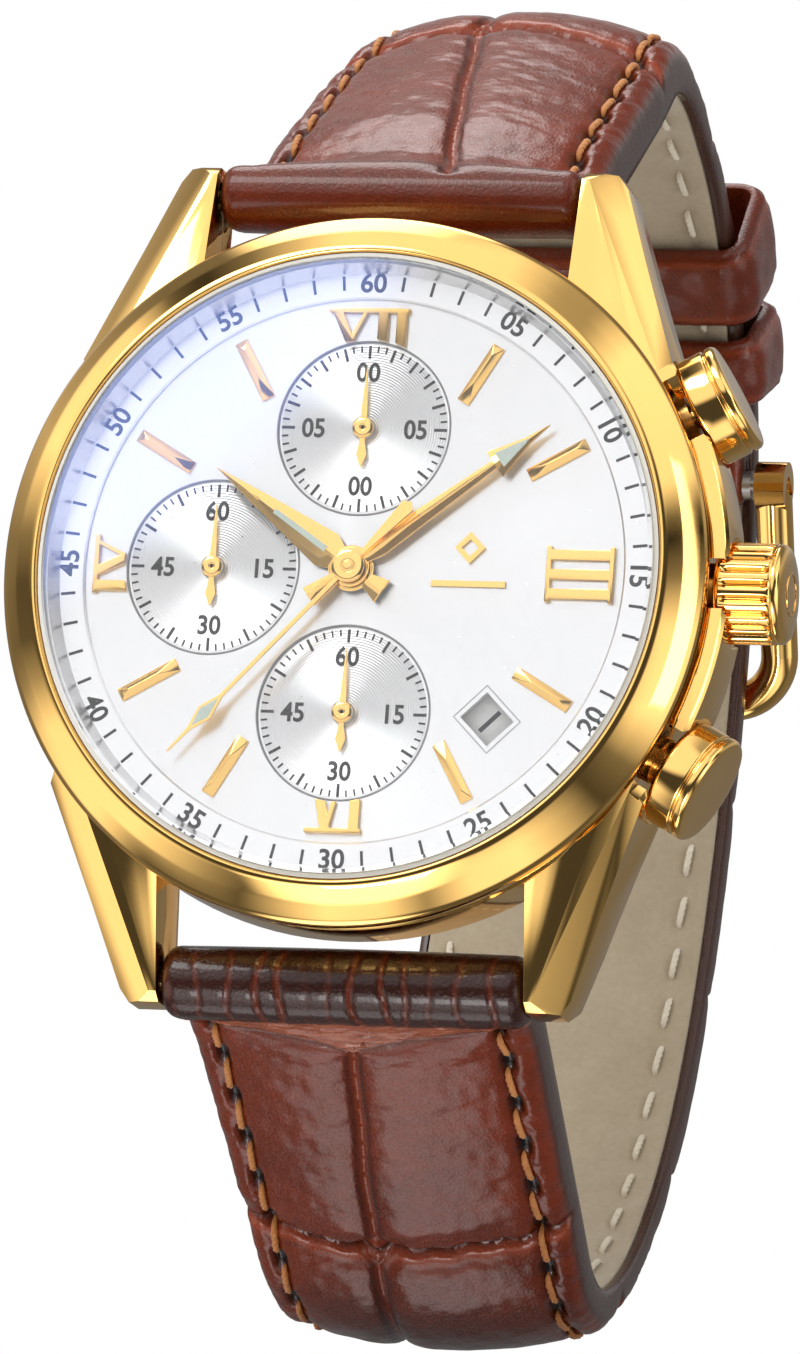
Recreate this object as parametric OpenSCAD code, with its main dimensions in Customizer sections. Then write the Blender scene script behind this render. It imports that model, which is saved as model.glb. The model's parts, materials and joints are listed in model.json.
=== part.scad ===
// Chronograph wristwatch on a padded leather strap that is buckled into a loop.
// The watch stands upright: +Z points to 12 o'clock, -Y out of the dial, +X to the crown.
// The origin is the centre of the case back's outer face, on the axis of the hands.

/* [Case] */
// Outer radius of the bezel
bezel_r = 21.0; // [20.6:0.1:21.4]
// Radius of the opening that the bezel leaves for the crystal
bezel_bore_r = 18.52; // [18.5:0.01:18.6]
// Height of the bezel's inner edge above the case back
bezel_top = 10.2; // [10.0:0.1:10.8]
// Thickness of the crystal
crystal_t = 1.0; // [0.8:0.1:1.2]
// Radius of the middle case's side wall
wall_r = 20.9; // [20.6:0.1:21.2]
// Radius of the raised shoulder on the crown side
shoulder_r = 22.0; // [21.8:0.1:22.2]
// Distance between the lugs' inner faces
lug_gap = 22; // [21.8:0.1:22.2]
// Distance from the hands' axis to a lug's tip
lug_reach = 24.9; // [24.6:0.1:25.4]

/* [Crown and pushers] */
// Outer radius of the crown
crown_r = 2.95; // [2.8:0.05:3.1]
// Length of the crown's fluted part
crown_len = 3.3; // [3.1:0.05:3.4]
// Number of flutes round the crown
crown_flutes = 20; // [16:1:24]
// Outer radius of a pusher's drum
pusher_r = 3.3; // [3.1:0.1:3.3]
// Angle of each pusher above and below the crown
pusher_angle = 29; // [28:1:31]
// How far a pusher travels when it is pressed
pusher_travel = 0.8; // [0.6:0.1:0.8]
// How far the crown pulls out
crown_travel = 1.0; // [0.8:0.1:1.2]

/* [Dial] */
// Radius of the dial
dial_r = 17.9; // [17.7:0.05:17.95]
// Distance from the hands' axis to each sub-dial's centre
subdial_off = 8.4; // [8.2:0.05:8.5]
// Radius of a sub-dial
subdial_r = 5.15; // [5.0:0.05:5.3]
// Inner radius of the ring that carries the minutes
chapter_in = 16.05; // [15.9:0.05:16.3]

/* [Time shown] */
// Hour that the hands show
hour_shown = 10; // [0:1:11]
// Minutes that the hands show
minute_shown = 8.75; // [0:0.25:59.75]
// Second that the central chronograph hand points to
chrono_shown = 37; // [0:1:59]

/* [Strap] */
// Width of the strap between the lugs
strap_w = 21.7; // [21.4:0.1:21.8]
// Width of the strap at the buckle
strap_tail_w = 18.5; // [17.5:0.5:18.5]
// Thickness of the strap beside the lugs
strap_t = 4.4; // [4.2:0.1:4.6]
// Thickness of the long strap where it passes through the buckle
long_t = 2.7; // [2.5:0.1:2.8]
// Thickness of the short strap at the buckle
short_t = 3.0; // [2.8:0.1:3.0]
// Thickness of the lining
lining_t = 0.8; // [0.6:0.1:1.0]

/* [Hidden] */
$fn = 96;
eps = 0.01;
gold = [0.86, 0.66, 0.33];
steel = [0.72, 0.72, 0.74];
hide = [0.33, 0.15, 0.07];
suede = [0.72, 0.63, 0.50];
silver = [0.90, 0.90, 0.91];

// Heights above the case back's outer face
back_top = 1.4;
wall_top = 7.55;
dial_z = 7.5;
dial_top = 7.9;
crystal_z = 9.5;
stem_z = 4.1;
bar_z = 2.6;
bar_y = 23.5;
bar_r = 0.75;
plate_z = 4.3;
plate_top = 5.3;
bridge_z = 2.15;
movement_r = 14.9;
battery_at = [-7.05, 7.05];
screw_r = 13.4;
screw_angles = [45, 105, 225, 315];
foot_r = 17.2;
foot_angles = [60, 200];

// Where each hand's hub starts, and its thickness
hand_t = 0.16;
register_hand_z = dial_top + 0.12;
hour_hand_z = dial_top + 0.45;
minute_hand_z = hour_hand_z + 0.32;
seconds_hand_z = minute_hand_z + 0.32;

// Radii of the central arbors, each running inside the next
seconds_arbor_r = 0.26;
cannon_in = 0.30;
cannon_out = 0.56;
hour_tube_in = 0.60;
hour_tube_out = 0.90;
register_arbor_r = 0.22;

// Motion work: the cannon pinion drives the minute wheel, whose pinion drives the hour wheel
motion_a = 3.2;
cannon_teeth = 12;
minute_teeth = 36;
pinion_teeth = 10;
hour_teeth = 40;
motion_angle = -45;

// The centres of the sub-dials, in the order 12, 9 and 6
sub_12 = [0, subdial_off];
sub_9 = [-subdial_off, 0];
sub_6 = [0, -subdial_off];
date_angle = 135;
date_r = 12.1;

// Strap paths: a start point and heading, then steps of [length, turn] in the Y-Z plane
short_start = [-bar_z, bar_y, 4];
short_steps = [[6, 29], [20.6, 0], [8, -40]];
long_start = [-bar_z, -bar_y, -4];
long_steps = [[6, -29], [20, 0], [9, 50]];
wrap_r = 26.5;
wrap_gap = 0.12;
// Angles about wrap_c, from +Z towards +Y: the buckle's pivot, the frame's bar and the long strap's tail
pivot_at = 77;
frame_at = 101.5;
tail_at = 46;
long_r = wrap_r + short_t / 2 + wrap_gap + long_t / 2;

function rad(a) = a * PI / 180;
function step_on(p, len, turn) = let (
        chord = turn == 0 ? len : 2 * len / rad(turn) * sin(turn / 2),
        h = p[2] + turn / 2)
    [p[0] + chord * cos(h), p[1] + chord * sin(h), p[2] + turn];
function part_way(p, s, n) = [for (i = [1:n]) step_on(p, s[0] * i / n, s[1] * i / n)];
function pieces(s) = max(2, ceil(abs(s[1]) / 6));
function walk(p, steps, i = 0) = i == len(steps) ? [] :
    let (w = part_way(p, steps[i], pieces(steps[i]))) concat(w, walk(w[len(w) - 1], steps, i + 1));
function last(v) = v[len(v) - 1];
function bezier(a, b, pull, n) = let (
        p1 = [a[0] + pull * cos(a[2]), a[1] + pull * sin(a[2])],
        p2 = [b[0] - pull * cos(b[2]), b[1] - pull * sin(b[2])])
    [for (i = [1:n]) let (t = i / n, u = 1 - t,
            p = u * u * u * [a[0], a[1]] + 3 * u * u * t * p1 + 3 * u * t * t * p2
                + t * t * t * [b[0], b[1]],
            d = u * u * (p1 - [a[0], a[1]]) + 2 * u * t * (p2 - p1) + t * t * ([b[0], b[1]] - p2))
        [p[0], p[1], atan2(d[1], d[0])]];

// The short strap ends in an arc about wrap_c, and the long strap lies outside it on the same centre
short_front = concat([short_start], walk(short_start, short_steps));
short_turn = last(short_front);
wrap_c = [short_turn[0] + wrap_r * sin(short_turn[2]), short_turn[1] - wrap_r * cos(short_turn[2])];
function on_wrap(r, a) = [wrap_c[0] + r * sin(a), wrap_c[1] + r * cos(a)];
short_path = concat(short_front,
    [for (i = [1:14]) let (a = -short_turn[2] + (pivot_at + short_turn[2]) * i / 14)
        [on_wrap(wrap_r, a)[0], on_wrap(wrap_r, a)[1], -a]]);
long_front = concat([long_start], walk(long_start, long_steps));
long_join = [wrap_c[0] + long_r, wrap_c[1], 90];
long_path = concat(long_front, bezier(last(long_front), long_join, 20, 16),
    [for (i = [1:10]) let (a = 90 + (tail_at - 90) * i / 10)
        [on_wrap(long_r, a)[0], on_wrap(long_r, a)[1], 180 - a]]);

// The buckle's pivot lies in the end of the short strap, and its bar lies outside the long strap
buckle_r = 0.9;
pivot = on_wrap(wrap_r, pivot_at);
frame_bar_r = 1.15;
frame_in = strap_tail_w / 2 + 0.6;
frame_half = frame_in + frame_bar_r;
frame_corner = 3.2;
frame_bar = on_wrap(long_r + long_t / 2 + frame_bar_r + 0.85, frame_at);
frame_len = norm(frame_bar - pivot);
frame_lean = atan2(frame_bar[0] - pivot[0], pivot[1] - frame_bar[1]);
tongue_w = 1.9;
tongue_t = 1.2;

// Angles of the two keepers round the wrap, and the length of arc that each takes
fixed_keeper_at = 60.5;
free_keeper_at = 46.8;
fixed_keeper_arc = 10;
free_keeper_arc = 12.4;
keeper_t = 1.2;
keeper_gap = 0.4;

module upright() { rotate([90, 0, 0]) children(); }
module profile_in_x(half) { rotate([90, 0, 90]) translate([0, 0, -half]) linear_extrude(2 * half) children(); }
module ring(r_in, r_out, z, h) {
    translate([0, 0, z]) difference() {
        cylinder(r = r_out, h = h);
        translate([0, 0, -1]) cylinder(r = r_in, h = h + 2);
    }
}
module disc(r, z, h) { translate([0, 0, z]) cylinder(r = r, h = h); }
module clockwise(a) { rotate([0, 0, -a]) children(); }
module at_angle(a, r) { rotate([0, 0, a]) translate([r, 0, stem_z]) rotate([0, 90, 0]) children(); }
module mirrored(v) { children(); mirror(v) children(); }

// A gear whose teeth are narrower than its gaps, so that a pair runs clear
module gear(teeth, pitch_r, bore_r, h) {
    m = 2 * pitch_r / teeth;
    step = 360 / teeth;
    linear_extrude(h) difference() {
        polygon([for (i = [0:teeth - 1]) each [
            (pitch_r - 1.15 * m) * [cos((i - 0.27) * step), sin((i - 0.27) * step)],
            (pitch_r + 0.80 * m) * [cos((i - 0.10) * step), sin((i - 0.10) * step)],
            (pitch_r + 0.80 * m) * [cos((i + 0.10) * step), sin((i + 0.10) * step)],
            (pitch_r - 1.15 * m) * [cos((i + 0.27) * step), sin((i + 0.27) * step)]]]);
        circle(r = bore_r, $fn = 32);
    }
}

// ---- Case ----
lug_inner_tip = [lug_gap / 2 + 0.2, lug_reach, 4.4];
lug_ridge_end = [14.6, 16.1, 6.7];
lug_outer_tip = [13.45, 24.4, 3.1];

module lug_facet_cut() {
    d = lug_ridge_end - lug_inner_tip;
    c = lug_outer_tip - lug_inner_tip;
    head = atan2(d[1], d[0]);
    rise = atan2(d[2], norm([d[0], d[1]]));
    along = c[0] * cos(head) + c[1] * sin(head);
    out = c[1] * cos(head) - c[0] * sin(head);
    drop = c[2] * cos(rise) - along * sin(rise);
    translate(lug_inner_tip) rotate([0, 0, head]) rotate([0, -rise, 0])
        rotate([atan2(drop, out), 0, 0]) translate([-20, -15, 0]) cube([50, 30, 10]);
}

module lug() {
    difference() {
        intersection() {
            linear_extrude(20, center = true) polygon([[lug_gap / 2, 9], [lug_gap / 2, lug_reach],
                [12.9, lug_reach], [13.5, 24.1], [15.2, 19.4], [17.75, 12.65], [15, 7]]);
            profile_lug();
        }
        lug_facet_cut();
    }
}

module profile_lug() {
    translate([30, 0, 0]) rotate([90, 0, -90]) mirror([1, 0, 0]) linear_extrude(60) polygon([
        [7, 7.3], [14.5, 7.1], [lug_reach - 0.5, 4.5], [lug_reach, 3.7], [lug_reach, 0.9],
        [lug_reach - 0.6, 0.2], [21, 0.35], [16.5, 1.0], [7, 1.4]]);
}

module case_wall() {
    rotate_extrude() polygon([[16, 1.0], [18.9, 1.0], [20.1, 1.5], [wall_r, 2.9], [wall_r, 6.6],
        [20.4, wall_top], [16, wall_top]]);
}

module crown_shoulder() {
    intersection() {
        rotate_extrude() polygon([[16, 1.4], [20.5, 1.6], [shoulder_r, 2.6], [shoulder_r, 6.75],
            [shoulder_r - 0.25, 7.0], [16, 7.0]]);
        linear_extrude(20) polygon([[0, 0], [30, -22], [30, 22]]);
    }
}

module mid_case() color(gold) upright() difference() {
    union() {
        case_wall();
        crown_shoulder();
        mirrored([0, 1, 0]) mirrored([1, 0, 0]) lug();
    }
    disc(18.2, back_top, 20);
    disc(18.75, -5, 5 + back_top + eps);
    at_angle(0, 10) cylinder(r = 1.75, h = 20);
    at_angle(0, crown_base - 0.25) cylinder(r = crown_r + 0.3, h = 20);
    for (a = [-pusher_angle, pusher_angle]) {
        at_angle(a, 10) cylinder(r = 1.45, h = 20);
        at_angle(a, pusher_base - pusher_travel - 0.2) cylinder(r = pusher_r + 0.2, h = 20);
    }
    for (s = [-1, 1]) translate([-13, s * bar_y, bar_z]) rotate([0, 90, 0]) cylinder(r = 0.5, h = 26);
}

module bezel() color(gold) upright() rotate_extrude() polygon([
    [bezel_bore_r, wall_top + 0.03], [bezel_r, wall_top + 0.03], [bezel_r, 8.5], [bezel_r - 0.12, 8.62],
    [18.82, bezel_top - 0.05], [18.72, bezel_top], [bezel_bore_r, bezel_top - 0.22]]);

module crystal() color([0.8, 0.88, 0.95, 0.3]) upright() rotate_extrude() polygon([
    [0, crystal_z], [18.2, crystal_z], [18.2, crystal_z + crystal_t - 0.15],
    [18.0, crystal_z + crystal_t], [0, crystal_z + crystal_t]]);

module crystal_gasket() color([0.85, 0.85, 0.82]) upright() ring(18.22, 18.49, crystal_z, 0.5);

module case_back() color(gold) upright() difference() {
    union() {
        disc(18.6, 0.5, 0.48);
        ring(17.0, 18.1, 0.9, 0.5);
        rotate_extrude() polygon([[0, 0], [16.2, 0], [16.6, 0.5], [16.6, 0.6], [0, 0.6]]);
    }
    for (i = [0:5]) rotate([0, 0, 60 * i + 30]) translate([17.4, 0, -1]) cylinder(r = 0.7, h = 1.75);
}

module case_back_gasket() color("dimgray") upright() translate([0, 0, 1.2])
    rotate_extrude() translate([18.42, 0]) circle(r = 0.2, $fn = 24);

// ---- Crown, stem and pushers ----
tube_end = 21.9;
crown_base = 21.05;
crown_hollow = 2.2;

module crown_tube() color(gold) upright() at_angle(0, 17.9) difference() {
    cylinder(r = 1.70, h = tube_end - 17.9);
    translate([0, 0, -1]) cylinder(r = 1.05, h = 10);
}

module pusher_tubes() color(gold) upright() for (a = [-pusher_angle, pusher_angle])
    at_angle(a, 17.9) difference() {
        cylinder(r = 1.42, h = 3.4);
        translate([0, 0, -1]) cylinder(r = 0.85, h = 10);
    }

module sliding_pinion() color(steel) upright() at_angle(0, 8.2) difference() {
    gear(14, 1.1, 0.62, 1.4);
    translate([0, 0, 0.5]) difference() {
        cylinder(r = 3, h = 0.4);
        translate([0, 0, -1]) cylinder(r = 0.8, h = 3);
    }
}

module crown() color(gold) upright() at_angle(0, crown_base) difference() {
    union() {
        difference() {
            cylinder(r = crown_r, h = crown_len);
            for (i = [0:crown_flutes - 1]) rotate([0, 0, i * 360 / crown_flutes])
                translate([crown_r + 0.12, 0, -1]) cylinder(r = 0.3, h = 10, $fn = 24);
        }
        translate([0, 0, crown_len]) rotate_extrude() polygon([[0, 0], [crown_r, 0],
            [crown_r, 0.3], [crown_r - 0.25, 0.65], [0, 0.75]]);
    }
    translate([0, 0, -1]) cylinder(r = 2.0, h = 1 + crown_hollow);
}

module crown_stem() color(steel) upright() at_angle(0, 6.5) union() {
    cylinder(r = 0.58, h = crown_base + crown_hollow - 6.5);
    translate([0, 0, 8.6]) cylinder(r = 0.95, h = 6.4);
}

module crown_seal() color("dimgray") upright() at_angle(0, crown_base + 1.5) difference() {
    cylinder(r = 1.9, h = 0.45);
    translate([0, 0, -1]) cylinder(r = 0.62, h = 3);
}

pusher_base = 21.65;
pusher_len = 2.6;

module pusher(a) upright() at_angle(a, pusher_base) difference() {
    union() {
        rotate_extrude() polygon([[0, 0], [pusher_r - 0.2, 0], [pusher_r, 0.2],
            [pusher_r, pusher_len - 0.75], [pusher_r - 0.12, pusher_len - 0.68],
            [pusher_r - 0.12, pusher_len - 0.6], [pusher_r, pusher_len - 0.52],
            [pusher_r, pusher_len - 0.15], [pusher_r - 0.18, pusher_len], [0, pusher_len]]);
        translate([0, 0, -5.2]) cylinder(r = 0.8, h = 6.5);
    }
    translate([0, 0, -0.01]) difference() {
        cylinder(r = 2.35, h = 1.7);
        translate([0, 0, -1]) cylinder(r = 0.8, h = 4);
    }
}

module pusher_upper() color(gold) pusher(pusher_angle);
module pusher_lower() color(gold) pusher(-pusher_angle);

// A wire of round-ish section swept along a helix
module coil(r, wire_r, length, turns) {
    per_turn = 14;
    sides = 6;
    n = turns * per_turn;
    points = [for (i = [0:n]) for (j = [0:sides - 1]) let (
            a = i * 360 / per_turn, b = j * 360 / sides, rr = r + wire_r * cos(b))
        [rr * cos(a), rr * sin(a), wire_r + (length - 2 * wire_r) * i / n + wire_r * sin(b)]];
    faces = concat([[for (j = [0:sides - 1]) j]],
        [for (i = [0:n - 1]) for (j = [0:sides - 1])
            [i * sides + j, (i + 1) * sides + j, (i + 1) * sides + (j + 1) % sides,
                i * sides + (j + 1) % sides]],
        [[for (j = [sides - 1:-1:0]) n * sides + j]]);
    polyhedron(points, faces, convexity = 4);
}

module pusher_spring(a) upright() at_angle(a, 21.35) coil(1.85, 0.14, 2.0, 5);
module pusher_spring_upper() color(steel) pusher_spring(pusher_angle);
module pusher_spring_lower() color(steel) pusher_spring(-pusher_angle);

// ---- Movement ----
module arbor_holes(z) {
    for (c = [sub_12, sub_9, sub_6]) translate([c[0], c[1], z - 1]) cylinder(r = register_arbor_r + 0.04, h = 9);
}

module movement_holder() color([0.93, 0.93, 0.9]) upright() difference() {
    ring(movement_r + 0.05, 18.1, back_top + 0.1, dial_z - back_top - 0.15);
    at_angle(0, 10) cylinder(r = 1.2, h = 20);
    for (a = [-pusher_angle, pusher_angle]) at_angle(a, 10) cylinder(r = 1.2, h = 20);
    for (a = foot_angles) rotate([0, 0, a]) translate([foot_r, 0, dial_z - 2]) cylinder(r = 0.35, h = 3, $fn = 32);
    ring(17.85, 19, -1, 30);
}

module main_plate() color([0.83, 0.75, 0.55]) upright() difference() {
    disc(movement_r, plate_z, plate_top - plate_z);
    disc(cannon_out + 0.04, 0, 20);
    arbor_holes(plate_z);
    translate([8.3, 0, 3.6]) cube([20, 2.5, 4], center = true);
    for (a = screw_angles) rotate([0, 0, a]) translate([screw_r, 0, 0]) cylinder(r = 0.55, h = 20);
}

module train_bridge() color(steel) upright() difference() {
    disc(12.4, bridge_z, 0.5);
    disc(seconds_arbor_r + 0.04, 0, 20);
    arbor_holes(bridge_z);
    translate(battery_at) cylinder(r = 5.0, h = 20);
    translate([8.3, 0, 2.4]) cube([12, 3.4, 4], center = true);
}

module calendar_plate() color([0.83, 0.75, 0.55]) upright() difference() {
    union() {
        ring(9.2, 9.8, plate_top, 1.75);
        ring(13.5, movement_r - 0.1, plate_top, 1.75);
        ring(9.2, movement_r - 0.1, plate_top, 1.1);
    }
    for (i = [0:3]) rotate([0, 0, 45 + 90 * i]) translate([14.2, 0, 0]) cylinder(r = 0.4, h = 20);
}

module circuit_board() color([0.16, 0.38, 0.22]) upright() difference() {
    disc(12.6, 1.85, 0.25);
    translate(battery_at) cylinder(r = 5.1, h = 20);
    translate([8.3, 0, 2.4]) cube([12, 3.6, 4], center = true);
    for (a = [0, 180, 270]) rotate([0, 0, a]) translate([11.4, 3.2, 0]) cylinder(r = 0.7, h = 20);
}

module battery() color([0.75, 0.75, 0.77]) upright() translate(battery_at) rotate_extrude() polygon([
    [0, 1.75], [4.3, 1.75], [4.75, 2.1], [4.75, 3.8], [4.2, 3.8], [4.0, 3.95], [0, 3.95]]);

module battery_clip() color(steel) upright() translate(battery_at) rotate([0, 0, -45])
    translate([0, 0, 1.5]) linear_extrude(0.2) difference() {
        union() {
            square([9.6, 2.0], center = true);
            translate([4.3, 0]) circle(r = 1.3);
        }
        translate([4.3, 0]) circle(r = 0.5, $fn = 32);
    }

// Each motor: a wound coil beside the arbor that it drives, and the stator that closes its field
motors = [[5.3, 9.6, 20], [-9.3, -4.8, 115], [5.3, -9.7, 160], [-3.45, -4.75, 50]];
module at_motor(m) { translate([m[0], m[1], 3.45]) rotate([0, 0, m[2]]) children(); }
module motor_coils() color([0.72, 0.36, 0.14]) upright() for (m = motors) at_motor(m)
    rotate([0, 90, 0]) difference() {
        cylinder(r = 0.75, h = 5.6, center = true);
        cylinder(r = 0.28, h = 9, center = true);
    }
module motor_stators() color(steel) upright() for (m = motors) at_motor(m) union() {
    rotate([0, 90, 0]) cylinder(r = 0.27, h = 6.2, center = true);
    for (s = [-1, 1]) translate([s * 3.3, -0.35, 0]) cube([0.7, 2.0, 0.5], center = true);
}

module quartz_can() color([0.8, 0.8, 0.82]) upright() translate([9.2, 6.2, 3.45]) rotate([0, 90, 130])
    cylinder(r = 0.72, h = 5.5, center = true);

module movement_screws() color([0.45, 0.5, 0.6]) upright() {
    for (a = screw_angles) rotate([0, 0, a]) translate([screw_r, 0, 0]) difference() {
        union() {
            disc(0.95, plate_z - 0.5, 0.48);
            disc(0.5, plate_z - 0.1, 1.05);
        }
        translate([0, 0, plate_z - 0.5]) cube([0.22, 3, 0.3], center = true);
    }
}

// ---- Dial and its furniture ----
module dial() color(silver) upright() difference() {
    union() {
        disc(dial_r, dial_z, dial_top - dial_z);
        for (a = foot_angles) rotate([0, 0, a]) translate([foot_r, 0, dial_z - 0.9]) cylinder(r = 0.3, h = 1);
    }
    disc(hour_tube_out + 0.12, 0, 20);
    for (c = [sub_12, sub_9, sub_6]) translate([c[0], c[1], 0]) {
        disc(subdial_r, dial_top - 0.12, 1);
        cylinder(r = register_arbor_r + 0.1, h = 20);
    }
    clockwise(date_angle) translate([0, date_r, dial_z]) cube([2.1, 2.4, 4], center = true);
}

module chapter_ring() color(silver) upright() rotate_extrude() polygon([[chapter_in, dial_top],
    [chapter_in, dial_top + 0.14], [chapter_in + 0.12, dial_top + 0.22], [17.55, dial_top + 0.22],
    [17.95, crystal_z - 0.05], [18.45, crystal_z - 0.05], [18.15, dial_top]]);

// A bar with a roof of four facets, lying along y from y0 to y1
module roof_bar(y0, y1, w, h, slope) {
    intersection() {
        translate([0, y1, 0]) rotate([90, 0, 0]) linear_extrude(y1 - y0)
            polygon([[-w / 2, 0], [w / 2, 0], [w / 2, h * 0.35], [0, h], [-w / 2, h * 0.35]]);
        translate([w, 0, 0]) rotate([90, 0, -90]) mirror([1, 0, 0]) linear_extrude(2 * w)
            polygon([[y0, 0], [y0, h * 0.35], [y0 + slope, h], [y1 - slope / 2, h],
                [y1, h * 0.35], [y1, 0]]);
    }
}

module hour_markers() color(gold) upright() translate([0, 0, dial_top]) for (h = [1, 2, 4, 5, 7, 8, 10, 11])
    clockwise(30 * h) roof_bar(11.6, 15.45, 0.8, 0.42, 1.3);

// Roman numeral strokes, written upright round the point between the strokes
numeral_h = 4.0;
numeral_t = 0.34;
module stroke(x, w) { translate([x - w / 2, -numeral_h / 2, 0]) cube([w, numeral_h, numeral_t]); }
module serif(x0, x1) {
    for (s = [-1, 1]) translate([x0, s * (numeral_h / 2 - 0.14) - 0.14, 0]) cube([x1 - x0, 0.28, numeral_t]);
}
module slash(x0, x1, w) {
    linear_extrude(numeral_t) polygon([[x0 - w / 2, numeral_h / 2], [x0 + w / 2, numeral_h / 2],
        [x1 + w / 2, -numeral_h / 2], [x1 - w / 2, -numeral_h / 2]]);
}
module numeral_x(x) { slash(x - 0.95, x + 0.95, 0.62); slash(x + 0.95, x - 0.95, 0.26); }
module numeral_v(x) { slash(x - 0.85, x, 0.6); slash(x + 0.85, x, 0.26); }
module numeral_i(x) { stroke(x, 0.6); }

module roman_numerals() color(gold) upright() difference() {
    translate([0, 0, dial_top]) {
        translate([0, 13.5, 0]) {
            numeral_x(-1.15);
            numeral_i(0.75);
            numeral_i(1.85);
            serif(-2.5, 2.3);
        }
        clockwise(90) translate([0, 13.5, 0]) {
            for (x = [-1.15, 0, 1.15]) numeral_i(x);
            serif(-1.65, 1.65);
        }
        translate([0, -13.5, 0]) {
            numeral_v(-0.5);
            numeral_i(1.15);
            serif(-1.75, 1.6);
        }
        clockwise(-90) translate([0, 13.5, 0]) {
            numeral_i(-1.25);
            numeral_x(0.45);
            serif(-1.7, 1.75);
        }
    }
    for (c = [sub_12, sub_9, sub_6]) translate([c[0], c[1], 0]) cylinder(r = subdial_r + 0.12, h = 20);
    ring(chapter_in - 0.15, 20, 0, 20);
}

// A plain ornament: a lozenge over a short bar
module dial_emblem() color(gold) upright() translate([6.9, 0.9, dial_top]) {
    linear_extrude(0.25) difference() {
        polygon([[0, 1.5], [0.9, 0.55], [0, -0.4], [-0.9, 0.55]]);
        polygon([[0, 1.05], [0.5, 0.55], [0, 0.05], [-0.5, 0.55]]);
    }
    translate([-2.2, -1.75, 0]) cube([4.4, 0.35, 0.2]);
}

module date_ring() color([0.95, 0.95, 0.94]) upright() translate([0, 0, 6.5]) difference() {
    cylinder(r = 13.4, h = 0.7);
    translate([0, 0, -1]) cylinder(r = 10.2, h = 3);
    for (i = [0:30]) rotate([0, 0, i * 360 / 31]) translate([10.2, 0, -1]) cylinder(r = 0.42, h = 3, $fn = 24);
}

// ---- Hands and the wheels that carry them ----
hour_angle = 30 * (hour_shown + minute_shown / 60);
minute_angle = 6 * minute_shown;
chrono_angle = 6 * chrono_shown;

module hub(r_out, r_in, z, h) { ring(r_in, r_out, z, h); }

// A flat hand with a ridge along its middle: the outline, cut by a long roof
module ridged(z, w, base, length) {
    intersection() {
        translate([0, 0, z]) linear_extrude(1) children();
        translate([0, length, z]) rotate([90, 0, 0]) linear_extrude(2 * length)
            polygon([[-w, 0], [w, 0], [w, base - w * 0.1], [0, base + 0.06], [-w, base - w * 0.1]]);
    }
}

module hour_hand() color(gold) upright() clockwise(hour_angle) union() {
    difference() {
        ridged(hour_hand_z, 1.2, 0.18, 14) polygon([[0, 10.2], [0.46, 7], [1.1, 1.9], [0.6, 0.7],
            [0.35, -0.9], [0.75, -2.3], [-0.75, -2.3], [-0.35, -0.9], [-0.6, 0.7], [-1.1, 1.9], [-0.46, 7]]);
        disc(1.2, 0, 20);
    }
    hub(1.35, hour_tube_in, hour_hand_z, hand_t);
}

module hour_wheel() color([0.8, 0.65, 0.35]) upright() {
    hub(hour_tube_out, hour_tube_in, plate_top + 0.78, hour_hand_z - plate_top - 0.78);
    clockwise(hour_angle) translate([0, 0, plate_top + 0.78])
        gear(hour_teeth, motion_a * hour_teeth / (hour_teeth + pinion_teeth), hour_tube_in, 0.3);
}

module minute_hand() color(gold) upright() clockwise(minute_angle) union() {
    difference() {
        ridged(minute_hand_z, 1.1, 0.17, 16) polygon([[0, 14.15], [0.22, 12.6], [0.875, 10.3], [0.25, 10.3],
            [0.58, 2.2], [0.34, 0.8], [0.3, -0.9], [0.62, -2.9], [-0.62, -2.9], [-0.3, -0.9], [-0.34, 0.8],
            [-0.58, 2.2], [-0.25, 10.3], [-0.875, 10.3], [-0.22, 12.6]]);
        disc(1.0, 0, 20);
    }
    hub(1.15, cannon_in, minute_hand_z, hand_t);
}

module cannon_pinion() color(steel) upright() {
    hub(cannon_out, cannon_in, 3.4, minute_hand_z - 3.4);
    translate([0, 0, plate_top + 0.1])
        gear(cannon_teeth, motion_a * cannon_teeth / (cannon_teeth + minute_teeth), cannon_in, 0.5);
}

module minute_wheel() color([0.8, 0.65, 0.35]) upright()
    rotate([0, 0, motion_angle]) translate([motion_a, 0, 0]) difference() {
        union() {
            translate([0, 0, plate_top + 0.1]) rotate([0, 0, 185 - 180 / minute_teeth]) gear(minute_teeth,
                motion_a * minute_teeth / (cannon_teeth + minute_teeth), 0.2, 0.3);
            translate([0, 0, plate_top + 0.35]) gear(pinion_teeth,
                motion_a * pinion_teeth / (hour_teeth + pinion_teeth), 0.2, 0.75);
        }
        disc(0.24, 0, 20);
    }

module chrono_seconds_hand() color(gold) upright() clockwise(chrono_angle) union() {
    translate([0, 0, seconds_hand_z]) linear_extrude(hand_t) polygon([[-0.04, 15], [0.04, 15],
        [0.1, 13.2], [0.5, 11.9], [0.1, 10.5], [0.13, 0], [0.16, -1.6], [0.42, -4.9], [0, -5.2],
        [-0.42, -4.9], [-0.16, -1.6], [-0.13, 0], [-0.1, 10.5], [-0.5, 11.9], [-0.1, 13.2]]);
    disc(0.95, seconds_hand_z, 0.22);
    disc(0.3, seconds_hand_z, 0.36);
}

module chrono_wheel() color([0.8, 0.65, 0.35]) upright() {
    disc(seconds_arbor_r, bridge_z + 0.05, seconds_hand_z - bridge_z - 0.05);
    translate([0, 0, 2.85]) gear(48, 1.9, seconds_arbor_r - 0.01, 0.3);
}

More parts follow.
